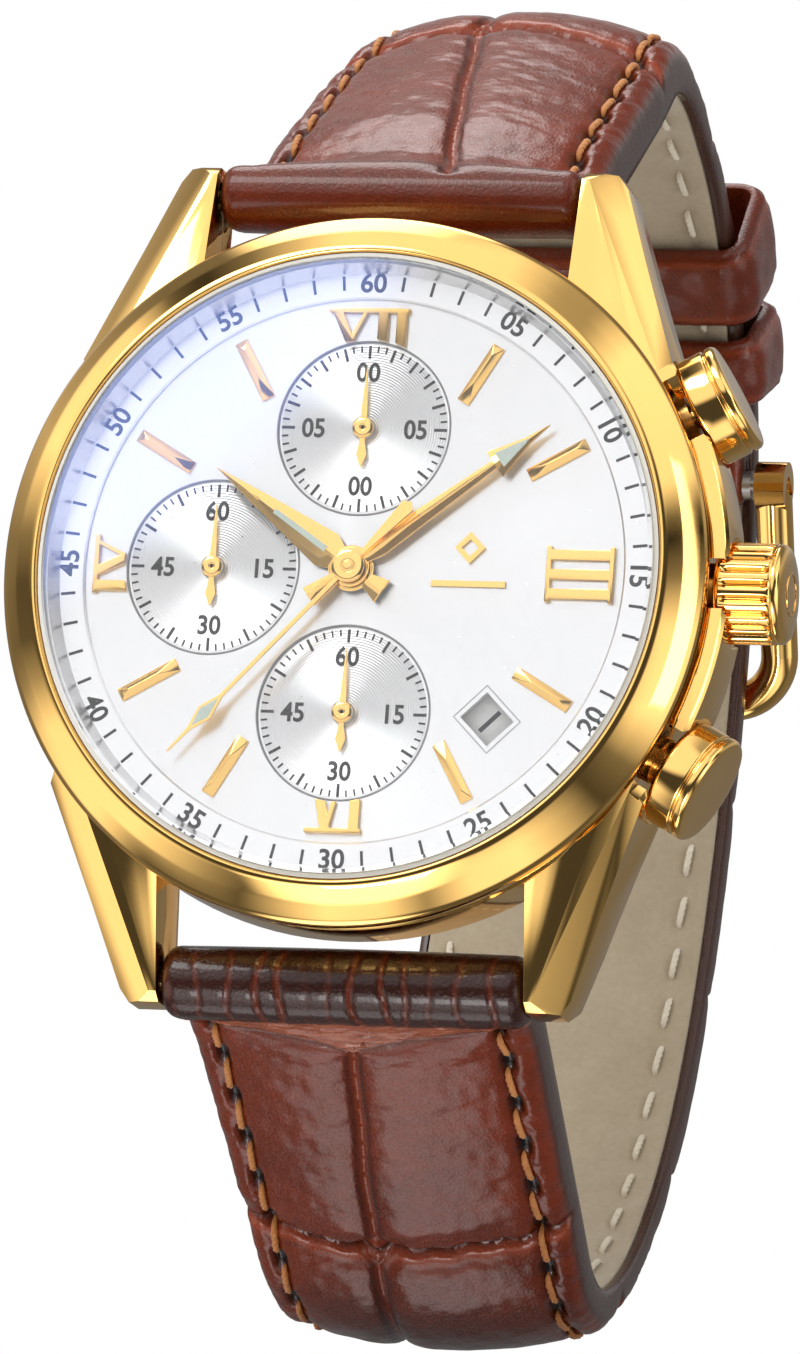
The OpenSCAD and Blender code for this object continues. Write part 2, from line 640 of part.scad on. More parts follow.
module register_hand(c) upright() translate([c[0], c[1], register_hand_z]) difference() {
    union() {
        linear_extrude(0.13) polygon([[0, 3.9], [0.17, 1.2], [0.2, 0], [0.15, -0.8], [0.3, -1.6],
            [0, -2.4], [-0.3, -1.6], [-0.15, -0.8], [-0.2, 0], [-0.17, 1.2]]);
        cylinder(r = 0.6, h = 0.17);
    }
    translate([0, 0, -1]) cylinder(r = register_arbor_r - 0.02, h = 3);
}

module register_wheel(c) upright() translate([c[0], c[1], 0]) {
    disc(register_arbor_r, bridge_z + 0.05, register_hand_z + 0.17 - bridge_z);
    translate([0, 0, 3.8]) gear(36, 1.7, register_arbor_r - 0.01, 0.3);
}

module register_hand_12() color(gold) register_hand(sub_12);
module register_wheel_12() color([0.8, 0.65, 0.35]) register_wheel(sub_12);
module register_hand_9() color(gold) register_hand(sub_9);
module register_wheel_9() color([0.8, 0.65, 0.35]) register_wheel(sub_9);
module register_hand_6() color(gold) register_hand(sub_6);
module register_wheel_6() color([0.8, 0.65, 0.35]) register_wheel(sub_6);

// ---- Strap ----
module spring_bars() color(steel) upright() for (s = [-1, 1]) translate([0, s * bar_y, bar_z]) rotate([0, 90, 0]) {
    cylinder(r = bar_r, h = 21.4, center = true);
    cylinder(r = 0.42, h = 24.4, center = true);
}

function side_of(p, d) = [p[0] - d * sin(p[2]), p[1] + d * cos(p[2])];
function half_round(p, r, from) = [for (i = [1:11]) let (a = p[2] + from - 15 * i)
    [p[0] + r * cos(a), p[1] + r * sin(a)]];

// A strip along a path, between a list of offsets on its left and one on its right, with round ends
module strip(path, left, right, start = false, end = false) {
    n = len(path) - 1;
    polygon(concat([for (i = [0:n]) side_of(path[i], left[i])],
        end ? half_round(path[n], left[n], 90) : [],
        [for (i = [n:-1:0]) side_of(path[i], right[i])],
        start ? half_round(path[0], left[0], -90) : []));
}

// Half the strap's thickness at each point: it thins from the lug to a little past the middle
function half_thick(path, t) = let (n = len(path) - 1)
    [for (i = [0:n]) strap_t / 2 + (t - strap_t) / 2 * min(1, i / (0.55 * n))];
function sub(v, from, to) = [for (i = [from:to]) v[i]];
// The leather wraps the bars at its ends, so the lining starts and stops short of them
lining_from = 2;
short_n = len(short_path) - 1;
short_half = half_thick(short_path, short_t);
long_n = len(long_path) - 1;
long_half = half_thick(long_path, long_t);

// The strap narrows from the lugs towards the buckle
module strap_outline() {
    half = [[strap_w / 2, -8], [strap_w / 2, -0.9], [strap_w / 2 - 0.5, 0.3], [strap_w / 2 - 1.15, 17],
        [strap_tail_w / 2, 34], [strap_tail_w / 2, 70]];
    linear_extrude(120, center = true)
        polygon(concat(half, [for (i = [len(half) - 1:-1:0]) [-half[i][0], half[i][1]]]));
}

module bar_hole(s) { translate([0, -bar_z, s * bar_y]) rotate([0, 90, 0]) cylinder(r = bar_r + 0.1, h = 40, center = true); }

// The end of the short strap: z points back along the strap and y out of the wrap
module at_pivot() { translate([0, pivot[0], pivot[1]]) rotate([90 - pivot_at, 0, 0]) children(); }
module tongue_slot() { at_pivot() translate([0, 0, -0.7]) cube([tongue_w + 0.9, 8, 5.6], center = true); }

module strap_upper() color(hide) difference() {
    intersection() {
        profile_in_x(20) strip(short_path, short_half, [for (i = [0:short_n])
            i < lining_from || i == short_n ? -short_half[i] : lining_t - short_half[i]], true, true);
        strap_outline();
    }
    bar_hole(1);
    at_pivot() rotate([0, 90, 0]) cylinder(r = buckle_r + 0.08, h = 40, center = true);
    tongue_slot();
}

module strap_upper_lining() color(suede) difference() {
    intersection() {
        profile_in_x(20) strip(sub(short_path, lining_from, short_n - 1),
            [for (i = [lining_from:short_n - 1]) lining_t - short_half[i]],
            [for (i = [lining_from:short_n - 1]) -short_half[i]]);
        strap_outline();
    }
    tongue_slot();
}

// Punched holes along the long strap: the tongue stands in the top one, which it has stretched
hole_pitch = 6.5;
hole_from_tail = long_r * rad(pivot_at + 4.5 - tail_at);
function back_from(path, i, s) = let (a = path[i], b = path[i - 1], d = norm([a[0] - b[0], a[1] - b[1]]))
    s <= d ? a + (b - a) * s / d : back_from(path, i - 1, s - d);
module hole_at(s, r) {
    p = back_from(long_path, len(long_path) - 1, s);
    translate([0, p[0], p[1]]) rotate([p[2], 0, 0]) cylinder(r = r, h = 8, center = true, $fn = 32);
}
module punched_holes() {
    for (s = [-1.75, -0.25, 1.25]) hole_at(hole_from_tail + s, 1.3);
    for (i = [1:3]) hole_at(hole_from_tail + i * hole_pitch, 1.0);
}

module strap_lower() color(hide) difference() {
    intersection() {
        profile_in_x(20) strip(long_path, [for (i = [0:long_n])
            i < lining_from ? long_half[i] : long_half[i] - lining_t],
            [for (h = long_half) -h], true);
        strap_outline();
    }
    bar_hole(-1);
    punched_holes();
}

module strap_lower_lining() color(suede) difference() {
    intersection() {
        profile_in_x(20) strip(sub(long_path, lining_from, long_n),
            [for (i = [lining_from:long_n]) long_half[i]],
            [for (i = [lining_from:long_n]) long_half[i] - lining_t]);
        strap_outline();
    }
    punched_holes();
}

// A leather loop round both straps, following their curve
module keeper(at, arc, t) {
    r_in = wrap_r - short_t / 2 - 0.3;
    r_out = long_r + long_t / 2 + 0.3;
    half = strap_tail_w / 2 + keeper_gap;
    translate([0, wrap_c[0], wrap_c[1]]) rotate([0, 90, 0]) rotate([0, 0, 180 - at - arc / 2])
        rotate_extrude(angle = arc) difference() {
            translate([r_in - t, -half - t]) square([r_out - r_in + 2 * t, 2 * (half + t)]);
            translate([r_in, -half]) square([r_out - r_in, 2 * half]);
        }
}

module fixed_keeper() color(hide) keeper(fixed_keeper_at, fixed_keeper_arc, keeper_t);
module free_keeper() color(hide) keeper(free_keeper_at, free_keeper_arc, keeper_t);

// ---- Buckle ----
module buckle_bar() color(steel) at_pivot() rotate([0, 90, 0]) {
    cylinder(r = buckle_r, h = 2 * frame_in - 0.3, center = true);
    cylinder(r = 0.5, h = 2 * frame_half + 1.4, center = true);
}

// The frame is a bent rod in a plane that leans out from the pivot over the long strap
module buckle_frame() color(gold) translate([0, pivot[0], pivot[1]]) difference() {
    rotate([frame_lean, 0, 0]) {
        for (s = [-1, 1]) translate([s * frame_half, 0, 0]) {
            translate([0, 0, frame_corner - frame_len]) cylinder(r = frame_bar_r, h = frame_len - frame_corner);
            rotate([0, 90, 0]) cylinder(r = 1.5, h = 1.9, center = true);
        }
        for (s = [0, 1]) mirror([s, 0, 0]) translate([frame_half - frame_corner, 0, frame_corner - frame_len])
            rotate([90, 0, 0]) rotate([0, 0, -90]) rotate_extrude(angle = 90)
                translate([frame_corner, 0]) circle(r = frame_bar_r, $fn = 32);
        translate([0, 0, -frame_len]) rotate([0, 90, 0])
            cylinder(r = frame_bar_r, h = 2 * (frame_half - frame_corner), center = true);
    }
    rotate([0, 90, 0]) cylinder(r = 0.56, h = 40, center = true);
}

// The tongue turns on the buckle's bar, passes through the long strap and rests on the frame
tongue_head = 90 - pivot_at - 35;
tongue_root = concat(pivot + 1.2 * [cos(tongue_head), sin(tongue_head)], [tongue_head + 7]);
tongue_tip = concat(on_wrap(norm(frame_bar - wrap_c) + frame_bar_r + tongue_t / 2 + 0.08, frame_at + 2.4),
    [-frame_at - 4]);
tongue_path = concat([tongue_root], bezier(tongue_root, tongue_tip, 6.5, 12));
module buckle_tongue() color(gold) union() {
    translate([0, pivot[0], pivot[1]]) rotate([0, 90, 0]) difference() {
        cylinder(r = buckle_r + 0.6, h = tongue_w, center = true);
        cylinder(r = buckle_r + 0.05, h = 2 * tongue_w, center = true);
    }
    profile_in_x(tongue_w / 2) strip(tongue_path, [for (p = tongue_path) tongue_t / 2],
        [for (p = tongue_path) -tongue_t / 2], false, true);
}

mid_case();
bezel();
crystal();
crystal_gasket();
case_back();
case_back_gasket();
crown_tube();
pusher_tubes();
movement_holder();
main_plate();
train_bridge();
calendar_plate();
circuit_board();
battery();
battery_clip();
motor_coils();
motor_stators();
quartz_can();
movement_screws();
dial();
chapter_ring();
hour_markers();
roman_numerals();
dial_emblem();
date_ring();
hour_hand();
hour_wheel();
minute_hand();
cannon_pinion();
minute_wheel();
chrono_seconds_hand();
chrono_wheel();
register_hand_12();
register_wheel_12();
register_hand_9();
register_wheel_9();
register_hand_6();
register_wheel_6();
sliding_pinion();
crown();
crown_stem();
crown_seal();
pusher_upper();
pusher_lower();
pusher_spring_upper();
pusher_spring_lower();
spring_bars();
strap_upper();
strap_upper_lining();
strap_lower();
strap_lower_lining();
fixed_keeper();
free_keeper();
buckle_bar();
buckle_frame();
buckle_tongue();
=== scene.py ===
"""Looks of the chronograph wristwatch round its CAD frame: metal, crystal, dial, leather and stitching."""
import json
import math
import random
from math import cos, radians, sin

import bmesh
import bpy
import numpy as np
from mathutils import Matrix, Vector

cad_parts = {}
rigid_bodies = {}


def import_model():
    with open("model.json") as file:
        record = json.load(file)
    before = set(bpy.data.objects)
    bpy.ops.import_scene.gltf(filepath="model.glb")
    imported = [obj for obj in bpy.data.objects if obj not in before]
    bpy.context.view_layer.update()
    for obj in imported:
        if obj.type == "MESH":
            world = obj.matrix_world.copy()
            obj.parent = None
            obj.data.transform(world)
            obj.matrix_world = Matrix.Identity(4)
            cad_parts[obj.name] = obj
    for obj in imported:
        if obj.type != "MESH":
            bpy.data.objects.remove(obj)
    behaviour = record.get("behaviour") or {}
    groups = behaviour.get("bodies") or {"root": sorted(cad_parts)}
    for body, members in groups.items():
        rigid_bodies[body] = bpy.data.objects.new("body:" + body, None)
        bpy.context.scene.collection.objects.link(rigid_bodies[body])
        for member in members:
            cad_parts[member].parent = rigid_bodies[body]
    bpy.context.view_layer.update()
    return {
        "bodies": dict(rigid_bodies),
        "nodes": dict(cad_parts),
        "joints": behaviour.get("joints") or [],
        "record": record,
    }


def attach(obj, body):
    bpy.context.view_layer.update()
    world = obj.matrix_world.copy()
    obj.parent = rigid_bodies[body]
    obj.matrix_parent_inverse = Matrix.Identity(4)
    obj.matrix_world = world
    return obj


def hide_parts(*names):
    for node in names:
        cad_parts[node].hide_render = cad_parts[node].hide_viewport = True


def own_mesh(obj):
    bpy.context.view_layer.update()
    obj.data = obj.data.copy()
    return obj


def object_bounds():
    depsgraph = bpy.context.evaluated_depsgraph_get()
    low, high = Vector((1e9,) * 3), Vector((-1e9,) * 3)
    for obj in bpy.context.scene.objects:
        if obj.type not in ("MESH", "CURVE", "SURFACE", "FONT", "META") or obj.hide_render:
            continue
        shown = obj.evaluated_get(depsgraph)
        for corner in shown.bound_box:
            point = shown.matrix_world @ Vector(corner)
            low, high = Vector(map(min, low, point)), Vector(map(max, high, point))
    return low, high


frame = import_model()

MM = 0.001
scene = bpy.context.scene
nodes = frame["nodes"]

# Watch coordinates are in millimetres: x to 3 o'clock, y to 12 o'clock, z up from the case back's outer face
WATCH = Matrix.Scale(MM, 4) @ Matrix(((1, 0, 0, 0), (0, 0, -1, 0), (0, 1, 0, 0), (0, 0, 0, 1)))
STEM_Z = 4.1
DIAL_TOP = 7.9
CHAPTER_TOP = 8.12
SUBDIAL_FLOOR = 7.78
SUBDIAL_OFF = 8.4
PRINT_T = 0.012
SUBDIALS = {"12": (0.0, SUBDIAL_OFF), "9": (-SUBDIAL_OFF, 0.0), "6": (0.0, -SUBDIAL_OFF)}
HOUR_SHOWN, MINUTE_SHOWN, CHRONO_SHOWN = 10, 8.75, 37
HOUR_HAND_Z, MINUTE_HAND_Z, SECONDS_HAND_Z = 8.35, 8.67, 8.99

# The strap's plan, in the Y-Z plane: bars in the lugs, then straight stretches and bends of (length, turn)
BAR_DEPTH, BAR_HEIGHT, BAR_R = 2.6, 23.5, 0.85
SHORT_STEPS = [(6, 29), (20.6, 0), (8, -40)]
LONG_STEPS = [(6, -29), (20, 0), (9, 50)]
WRAP_R, WRAP_GAP = 26.5, 0.12
LUG_T, SHORT_T, LONG_T = 4.4, 3.0, 2.7
LINING_T = 0.5
# Angles about the wrap's centre, from straight up towards the back
PIVOT_AT, TAIL_AT = 77, 46
PIVOT_R = 0.98
TAIL_HALF_WIDTH = 9.25
# How finely the path is divided
PACE = 0.25


# ---------------------------------------------------------------- camera, light and floor
def make_camera():
    """The photograph's view: from a little to the right and below, with the watch leaning clockwise."""
    azimuth, elevation, lean = (radians(v) for v in (14.5, -10.8, 4.2))
    distance = 0.8
    aim_right, aim_up = 2.6 * MM, -6.1 * MM
    back = Vector((sin(azimuth) * cos(elevation), -cos(azimuth) * cos(elevation), sin(elevation)))
    right = Vector((cos(azimuth), sin(azimuth), 0))
    up = back.cross(right)
    turned_right = cos(lean) * right + sin(lean) * up
    turned_up = cos(lean) * up - sin(lean) * right
    dial_centre = Vector((0, -DIAL_TOP * MM, 0))
    place = dial_centre + aim_right * turned_right + aim_up * turned_up + distance * back
    data = bpy.data.cameras.new("camera")
    data.sensor_width = 36
    data.lens = 367
    data.clip_start, data.clip_end = 0.01, 10
    camera = bpy.data.objects.new("camera", data)
    turn = Matrix((turned_right, turned_up, back)).transposed().to_4x4()
    camera.matrix_world = Matrix.Translation(place) @ turn
    scene.collection.objects.link(camera)
    scene.camera = camera


class Graph:
    """A node tree with short ways to add nodes and to wire them."""

    def __init__(self, tree):
        self.tree = tree

    def node(self, kind, **settings):
        made = self.tree.nodes.new("ShaderNode" + kind)
        for key, value in settings.items():
            setattr(made, key, value)
        return made

    def feed(self, into, value):
        """Wires a socket to another node's output, or sets it to a constant."""
        if isinstance(value, bpy.types.NodeSocket):
            self.tree.links.new(value, into)
        else:
            into.default_value = value

    def wire(self, kind, inputs, out=0, **settings):
        """Adds a node, feeds its inputs and gives one of its outputs."""
        made = self.node(kind, **settings)
        for key, value in inputs.items():
            self.feed(made.inputs[key], value)
        return made.outputs[out]

    def scaled(self, value, scale, shift=0):
        return self.wire("Math", {0: value, 1: scale, 2: shift}, operation="MULTIPLY_ADD")

    def product(self, a, b):
        return self.wire("Math", {0: a, 1: b}, operation="MULTIPLY")

    def spread(self, value, low, high):
        """0 at low, 1 at high and smooth between them."""
        limits = {"Value": value, "From Min": low, "From Max": high}
        return self.wire("MapRange", limits, interpolation_type="SMOOTHSTEP")

    def mix(self, factor, low, high):
        inputs = {"Factor": factor}
        for name, value in (("A", low), ("B", high)):
            inputs[name] = (*value, 1) if isinstance(value, tuple) else value
        return self.wire("Mix", inputs, "Result", data_type="RGBA")

    def ramp(self, value, stops):
        """Greys by (place, brightness) stops."""
        made = self.node("ValToRGB")
        elements = made.color_ramp.elements
        elements.remove(elements[-1])
        elements[0].position = stops[0][0]
        for place, _ in stops[1:]:
            elements.new(place)
        for element, (_, grey) in zip(elements, stops):
            element.color = (grey, grey, grey, 1)
        self.feed(made.inputs[0], value)
        return made.outputs[0]


# Brightness of the studio seen edge-on from the dial, by angle: 0 at 3 o'clock, 90 at 12 o'clock
STUDIO_RING = [(-180, 0.12), (-174, 0.45), (-167, 1.35), (-146, 1.5), (-130, 0.4), (-122, 0.12), (-105, 1.5),
               (-93, 1.3), (-84, 0.38), (-74, 1.4), (-61, 1.5), (-41, 0.07), (-31, 0.22), (-19, 1.5), (1, 1.4),
               (12, 0.27), (21, 0.02), (26, 0.2), (33, 1.35), (58, 1.5), (67, 0.45), (74, 0.5), (83, 1.35),
               (109, 1.4), (121, 0.22), (127, 0.04), (132, 0.14), (138, 1.3), (154, 1.5), (165, 0.28),
               (172, 0.1), (180, 0.12)]
# Brightness behind the watch, by height: 0 is straight down
STUDIO_BACK = [(0.0, 0.12), (0.25, 0.22), (0.5, 0.2), (0.62, 0.25), (0.72, 0.6), (0.86, 0.2), (1.0, 0.25)]
# What the dial faces, and what is low in front, are kept darker
FRONT_SHADE, UNDER_SHADE = 0.07, 0.12
# Soft panels: the way to each, the cosines of its faint and its full edge, and its brightness
PANELS = [((-0.25, 0.30, 0.92), 0.945, 0.99, 4.4), ((-0.20, 0.18, -0.96), 0.945, 0.992, 2.8),
          ((-0.16, -0.64, -0.75), 0.915, 0.98, 2.6), ((-0.25, -0.80, 0.55), 0.78, 0.90, 1.35)]
# What the crystal alone mirrors, for its blue coating
BLUE_PANEL = (-0.45, -0.80, 0.40)
BLUE_LIGHT = (3.0, 4.6, 12.0)
BLUE_FAINT, BLUE_FULL = 0.9595, 0.9665


def make_world():
    """A white studio: plain for the camera, with dark and bright panels for the metal to reflect."""
    world = bpy.data.worlds.new("studio")
    scene.world = world
    world.use_nodes = True
    world.node_tree.nodes.clear()
    g = Graph(world.node_tree)
    way = g.wire("TexCoord", {}, "Generated")
    split = g.node("SeparateXYZ")
    g.feed(split.inputs[0], way)
    across, depth, height = split.outputs
    angle = g.wire("Math", {0: height, 1: across}, operation="ARCTAN2")
    ring = g.ramp(g.scaled(angle, 0.5 / math.pi, 0.5), [(a / 360 + 0.5, value) for a, value in STUDIO_RING])
    behind = g.ramp(g.scaled(height, 0.5, 0.5), STUDIO_BACK)
    around = g.mix(g.spread(depth, -0.80, -0.55), (FRONT_SHADE,) * 3, ring)
    under = g.product(g.spread(height, -0.45, -0.65), g.spread(depth, -0.24, -0.04))
    around = g.mix(under, around, (UNDER_SHADE,) * 3)
    room = g.mix(g.spread(depth, 0.0, 0.25), around, behind)

    def toward(aim, faint, full):
        facing = g.wire("VectorMath", {0: way, 1: Vector(aim).normalized()}, "Value", operation="DOT_PRODUCT")
        return g.spread(facing, faint, full)

    for aim, faint, full, light in PANELS:
        room = g.mix(toward(aim, faint, full), room, (light,) * 3)
    path = g.node("LightPath")
    sharp = g.product(path.outputs["Is Singular Ray"], path.outputs["Is Reflection Ray"])
    room = g.mix(g.product(sharp, toward(BLUE_PANEL, BLUE_FAINT, BLUE_FULL)), room, BLUE_LIGHT)
    studio = g.wire("Background", {"Color": room})
    plain = g.wire("Background", {"Color": (1, 1, 1, 1)})
    pick = g.wire("MixShader", {0: path.outputs["Is Camera Ray"], 1: studio, 2: plain})
    g.feed(g.node("OutputWorld").inputs["Surface"], pick)
    scene.view_settings.view_transform = "Standard"


def add_light(name, place, aim, size, power):
    data = bpy.data.lights.new(name, "AREA")
    data.shape = "RECTANGLE"
    data.size, data.size_y = size
    data.energy = power
    lamp = bpy.data.objects.new(name, data)
    lamp.location = place
    lamp.rotation_euler = (Vector(aim) - Vector(place)).to_track_quat("-Z", "Y").to_euler()
    scene.collection.objects.link(lamp)


def make_lights():
    add_light("key_light", (-0.35, -0.55, 0.55), (0, 0, 0), (0.4, 0.3), 2.6)
    add_light("side_light", (0.6, -0.25, 0.1), (0, 0, 0), (0.12, 0.6), 0.6)
    add_light("low_light", (-0.06, -0.5, -0.55), (0, 0, -0.02), (0.24, 0.2), 1.6)


def make_floor():
    """A pale floor under the strap. It shows from above only, because the camera looks up from below it."""
    reach, z = 0.16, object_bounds()[0].z - 0.3 * MM
    corners = [(-reach, -reach, z), (reach, -reach, z), (reach, reach, z), (-reach, reach, z)]
    mesh = new_mesh("floor", corners, [(0, 1, 2, 3)])
    floor = bpy.data.objects.new("floor", mesh)
    scene.collection.objects.link(floor)
    p = Painter("pale_floor")
    p.finish(p.mix(p.noise(40, 3), (0.84, 0.84, 0.83), (0.88, 0.88, 0.87)), p.noise(300, 3), 0.6, 0.8)
    below = p.node("NewGeometry").outputs["Backfacing"]
    pick = p.wire("MixShader", {0: below, 1: p.shader.outputs[0], 2: p.wire("BsdfTransparent", {})})
    p.feed(p.tree.nodes["Material Output"].inputs["Surface"], pick)
    mesh.materials.append(p.material)
    floor.visible_glossy = False


# ---------------------------------------------------------------- materials
class Painter(Graph):
    """One procedural material. Constants are set straight on the Principled shader's own sockets."""

    def __init__(self, name, **sockets):
        self.material = bpy.data.materials.new(name)
        self.material.use_nodes = True
        super().__init__(self.material.node_tree)
        self.shader = self.tree.nodes["Principled BSDF"]
        self.place = self.wire("TexCoord", {}, "Object")
        for socket, value in sockets.items():
            self.shader.inputs[socket.replace("_", " ")].default_value = value

    def noise(self, scale, detail=4, roughness=0.55, stretch=None):
        at = self.wire("Mapping", {"Scale": stretch, "Vector": self.place}) if stretch else self.place
        inputs = {"Scale": scale, "Detail": detail, "Roughness": roughness, "Vector": at}
        return self.wire("TexNoise", inputs, "Fac")

    def cells(self, scale):
        return self.wire("TexVoronoi", {"Scale": scale, "Vector": self.place}, "Distance")

    def attribute(self, name):
        return self.node("Attribute", attribute_name=name).outputs["Fac"]

    def sum(self, *pairs):
        """The sum of (value, weight) pairs."""
        total = 0
        for value, weight in pairs:
            total = self.scaled(value, weight, total)
        return total

    def finish(self, colour, grain, smooth, dull, height=None, distance=0.0, strength=1.0):
        """Wires the colour, the roughness from smooth to dull by grain, and the bump. Gives the material."""
        sockets = self.shader.inputs
        self.feed(sockets["Base Color"], colour)
        gloss = self.wire("MapRange", {"Value": grain, "To Min": smooth, "To Max": dull})
        self.feed(sockets["Roughness"], gloss)
        if height:
            bump = self.wire("Bump", {"Height": height, "Distance": distance, "Strength": strength})
            self.feed(sockets["Normal"], bump)
        return self.material


def metal(name, colour, roughness, grain=0.0, grain_scale=(600, 600, 600)):
    """Plated or solid metal: slow colour drift, fine wear in its gloss, and a brushed grain if asked."""
    p = Painter(name, Metallic=1.0)
    worn = tuple(0.88 * c for c in colour)
    fine = p.noise(1.0, 5, 0.6, grain_scale)
    drift = p.mix(p.noise(220, 3), worn, colour)
    return p.finish(drift, p.noise(900, 6, 0.65), roughness * 0.7, roughness * 1.5,
                    fine, (0.4 + grain) * 1e-6, 0.35 + 0.5 * min(1, grain))


def lacquer(name, colour, roughness, speck=0.04, coat=0.0):
    p = Painter(name, Coat_Weight=coat)
    darker = tuple(max(0, c - speck) for c in colour)
    drift = p.mix(p.noise(500, 5), darker, colour)
    return p.finish(drift, p.noise(1500, 4), roughness * 0.8, roughness * 1.2, p.noise(4000, 3), 1e-6, 0.3)


def glass(name):
    p = Painter(name, Transmission_Weight=1.0, IOR=1.45, Roughness=0.0)
    p.feed(p.shader.inputs["Base Color"], p.mix(p.noise(60, 2), (0.985, 0.99, 1.0), (1.0, 1.0, 1.0)))
    return p.material


def rubber(name, colour):
    p = Painter(name, Specular_IOR_Level=0.35)
    darker = tuple(0.8 * c for c in colour)
    return p.finish(p.mix(p.noise(900, 4), darker, colour), p.noise(2500, 3), 0.5, 0.7,
                    p.noise(5000, 3), 2e-6, 0.5)


def dial_silver(name, turn, amount):
    """Silver-plated dial: brushed round or outwards from its centre, with a very fine grain."""
    p = Painter(name, Metallic=0.75, Anisotropic=amount, Anisotropic_Rotation=turn)
    tangent = p.wire("Tangent", {}, direction_type="RADIAL", axis="Y")
    p.feed(p.shader.inputs["Tangent"], tangent)
    colour = p.mix(p.noise(120, 3), (0.90, 0.90, 0.91), (0.97, 0.97, 0.98))
    return p.finish(colour, p.noise(2500, 4), 0.24, 0.36, p.noise(6000, 3), 1e-6, 0.4)


def leather(name):
    """Glazed calf: painted shade in its stitch holes and crease cuts, red-brown creases with a painted
    highlight along the roll's wrinkles, fine grain and a waxy gloss.
    """
    p = Painter(name, Coat_Weight=0.4, Coat_Roughness=0.13, Specular_IOR_Level=0.2)
    streak = p.noise(900, 5, 0.65)
    tone = p.sum((p.noise(160, 4, 0.6), 0.8), (streak, 0.45))
    colour = p.mix(tone, (0.026, 0.0036, 0.0016), (0.26, 0.036, 0.008))
    # The near-black tint is painted shade in the stitch holes, crease cuts and fold valley. The crease tint is
    # the leather's own colour, and also a painted highlight along the roll's wrinkles.
    for name, tint in (("roll", (0.026, 0.0060, 0.0034)), ("crease", (0.30, 0.048, 0.012)),
                       ("fold", (0.42, 0.125, 0.06)), ("hole", (0.004, 0.002, 0.002)),
                       ("edge", (0.050, 0.018, 0.011))):
        colour = p.mix(p.attribute(name), colour, tint)
    grain = p.sum((p.noise(4400, 4, 0.6), 0.6), (p.cells(5200), 0.6), (p.noise(900, 3), 0.6))
    return p.finish(colour, p.sum((streak, 0.6), (p.attribute("edge"), 0.5)), 0.22, 0.42, grain, 50e-6)


def nubuck(name):
    """The lining: a soft brushed skin with short nap, faint stains and pores."""
    p = Painter(name, Sheen_Weight=0.35, Sheen_Roughness=0.5, Specular_IOR_Level=0.25)
    tone = p.sum((p.noise(260, 4, 0.6), 0.6), (p.noise(2400, 3), 0.4))
    nap = p.sum((p.noise(3200, 5, 0.7), 0.7), (p.cells(2300), 0.4))
    colour = p.mix(tone, (0.30, 0.235, 0.155), (0.50, 0.42, 0.305))
    return p.finish(colour, p.noise(1500, 3), 0.78, 0.95, nap, 40e-6, 0.7)


def thread(name, dark, light):
    """Waxed thread with fine fibres."""
    p = Painter(name, Sheen_Weight=0.15, Specular_IOR_Level=0.4)
    fibre = p.noise(5200, 4, 0.7)
    tone = p.sum((fibre, 0.75), (p.noise(700, 2), 0.35))
    return p.finish(p.mix(tone, dark, light), fibre, 0.4, 0.65, fibre, 30e-6, 0.7)


def lume(name):
    p = Painter(name)
    colour = p.mix(p.noise(3000, 3), (0.74, 0.90, 0.78), (0.88, 0.97, 0.90))
    return p.finish(colour, p.noise(4000, 3), 0.5, 0.7, p.noise(5000, 3), 4e-6, 0.5)


GOLD = (1.0, 0.61, 0.19)
# Each material by its name: how it is made, and what with
RECIPES = {
    "gold_polished": (metal, GOLD, 0.065),
    "gold_satin": (metal, (0.95, 0.60, 0.20), 0.26, 3.0, (300, 4000, 300)),
    "gold_applied": (metal, (1.0, 0.62, 0.19), 0.12),
    "steel": (metal, (0.62, 0.62, 0.64), 0.28, 2.0, (4000, 300, 300)),
    "movement_brass": (metal, (0.80, 0.66, 0.40), 0.32, 2.0),
    "wheel_brass": (metal, (0.86, 0.66, 0.30), 0.22, 1.0),
    "copper_wire": (metal, (0.72, 0.30, 0.12), 0.35, 6.0, (300, 300, 9000)),
    "battery_steel": (metal, (0.70, 0.70, 0.72), 0.18),
    "blued_steel": (metal, (0.16, 0.22, 0.45), 0.22),
    "holder_plastic": (lacquer, (0.85, 0.85, 0.80), 0.45),
    "board": (lacquer, (0.05, 0.20, 0.09), 0.35, 0.03, 0.4),
    "date_white": (lacquer, (0.90, 0.90, 0.88), 0.5),
    "clear_gasket": (lacquer, (0.80, 0.79, 0.74), 0.4),
    "gasket": (rubber, (0.03, 0.03, 0.03)),
    "dial_silver": (dial_silver, 0.25, 0.7),
    "snailed_silver": (dial_silver, 0.0, 0.8),
    "chapter_silver": (dial_silver, 0.25, 0.3),
    "dial_ink": (lacquer, (0.012, 0.012, 0.016), 0.35, 0.004),
    "grey_ink": (lacquer, (0.33, 0.33, 0.34), 0.4, 0.02),
    "window_grey": (lacquer, (0.50, 0.50, 0.51), 0.3, 0.03),
    "lume": (lume,),
    "tan_thread": (thread, (0.24, 0.055, 0.012), (0.80, 0.34, 0.09)),
    "cream_thread": (thread, (0.50, 0.42, 0.30), (0.82, 0.76, 0.62)),
}
MATERIALS = {name: make(name, *values) for name, (make, *values) in RECIPES.items()}
MATERIALS["crystal"] = glass("crystal_glass")
MATERIALS["leather_brown"] = leather("glazed_leather")
MATERIALS["lining_suede"] = nubuck("nubuck")


def paint_cad_nodes():
    """Every CAD node that stays visible takes the finish that its record slot names."""
    slots = {s["node"]: s["material_slot"] for s in frame["record"]["subparts"]}
    slots["chapter_ring"] = "chapter_silver"
    for name, obj in nodes.items():
        for place in obj.material_slots:
            place.material = MATERIALS[slots[name]]


# ---------------------------------------------------------------- mesh helpers
def new_mesh(name, points, faces):
    mesh = bpy.data.meshes.new(name)
    mesh.from_pydata(points, [], faces)
    return mesh


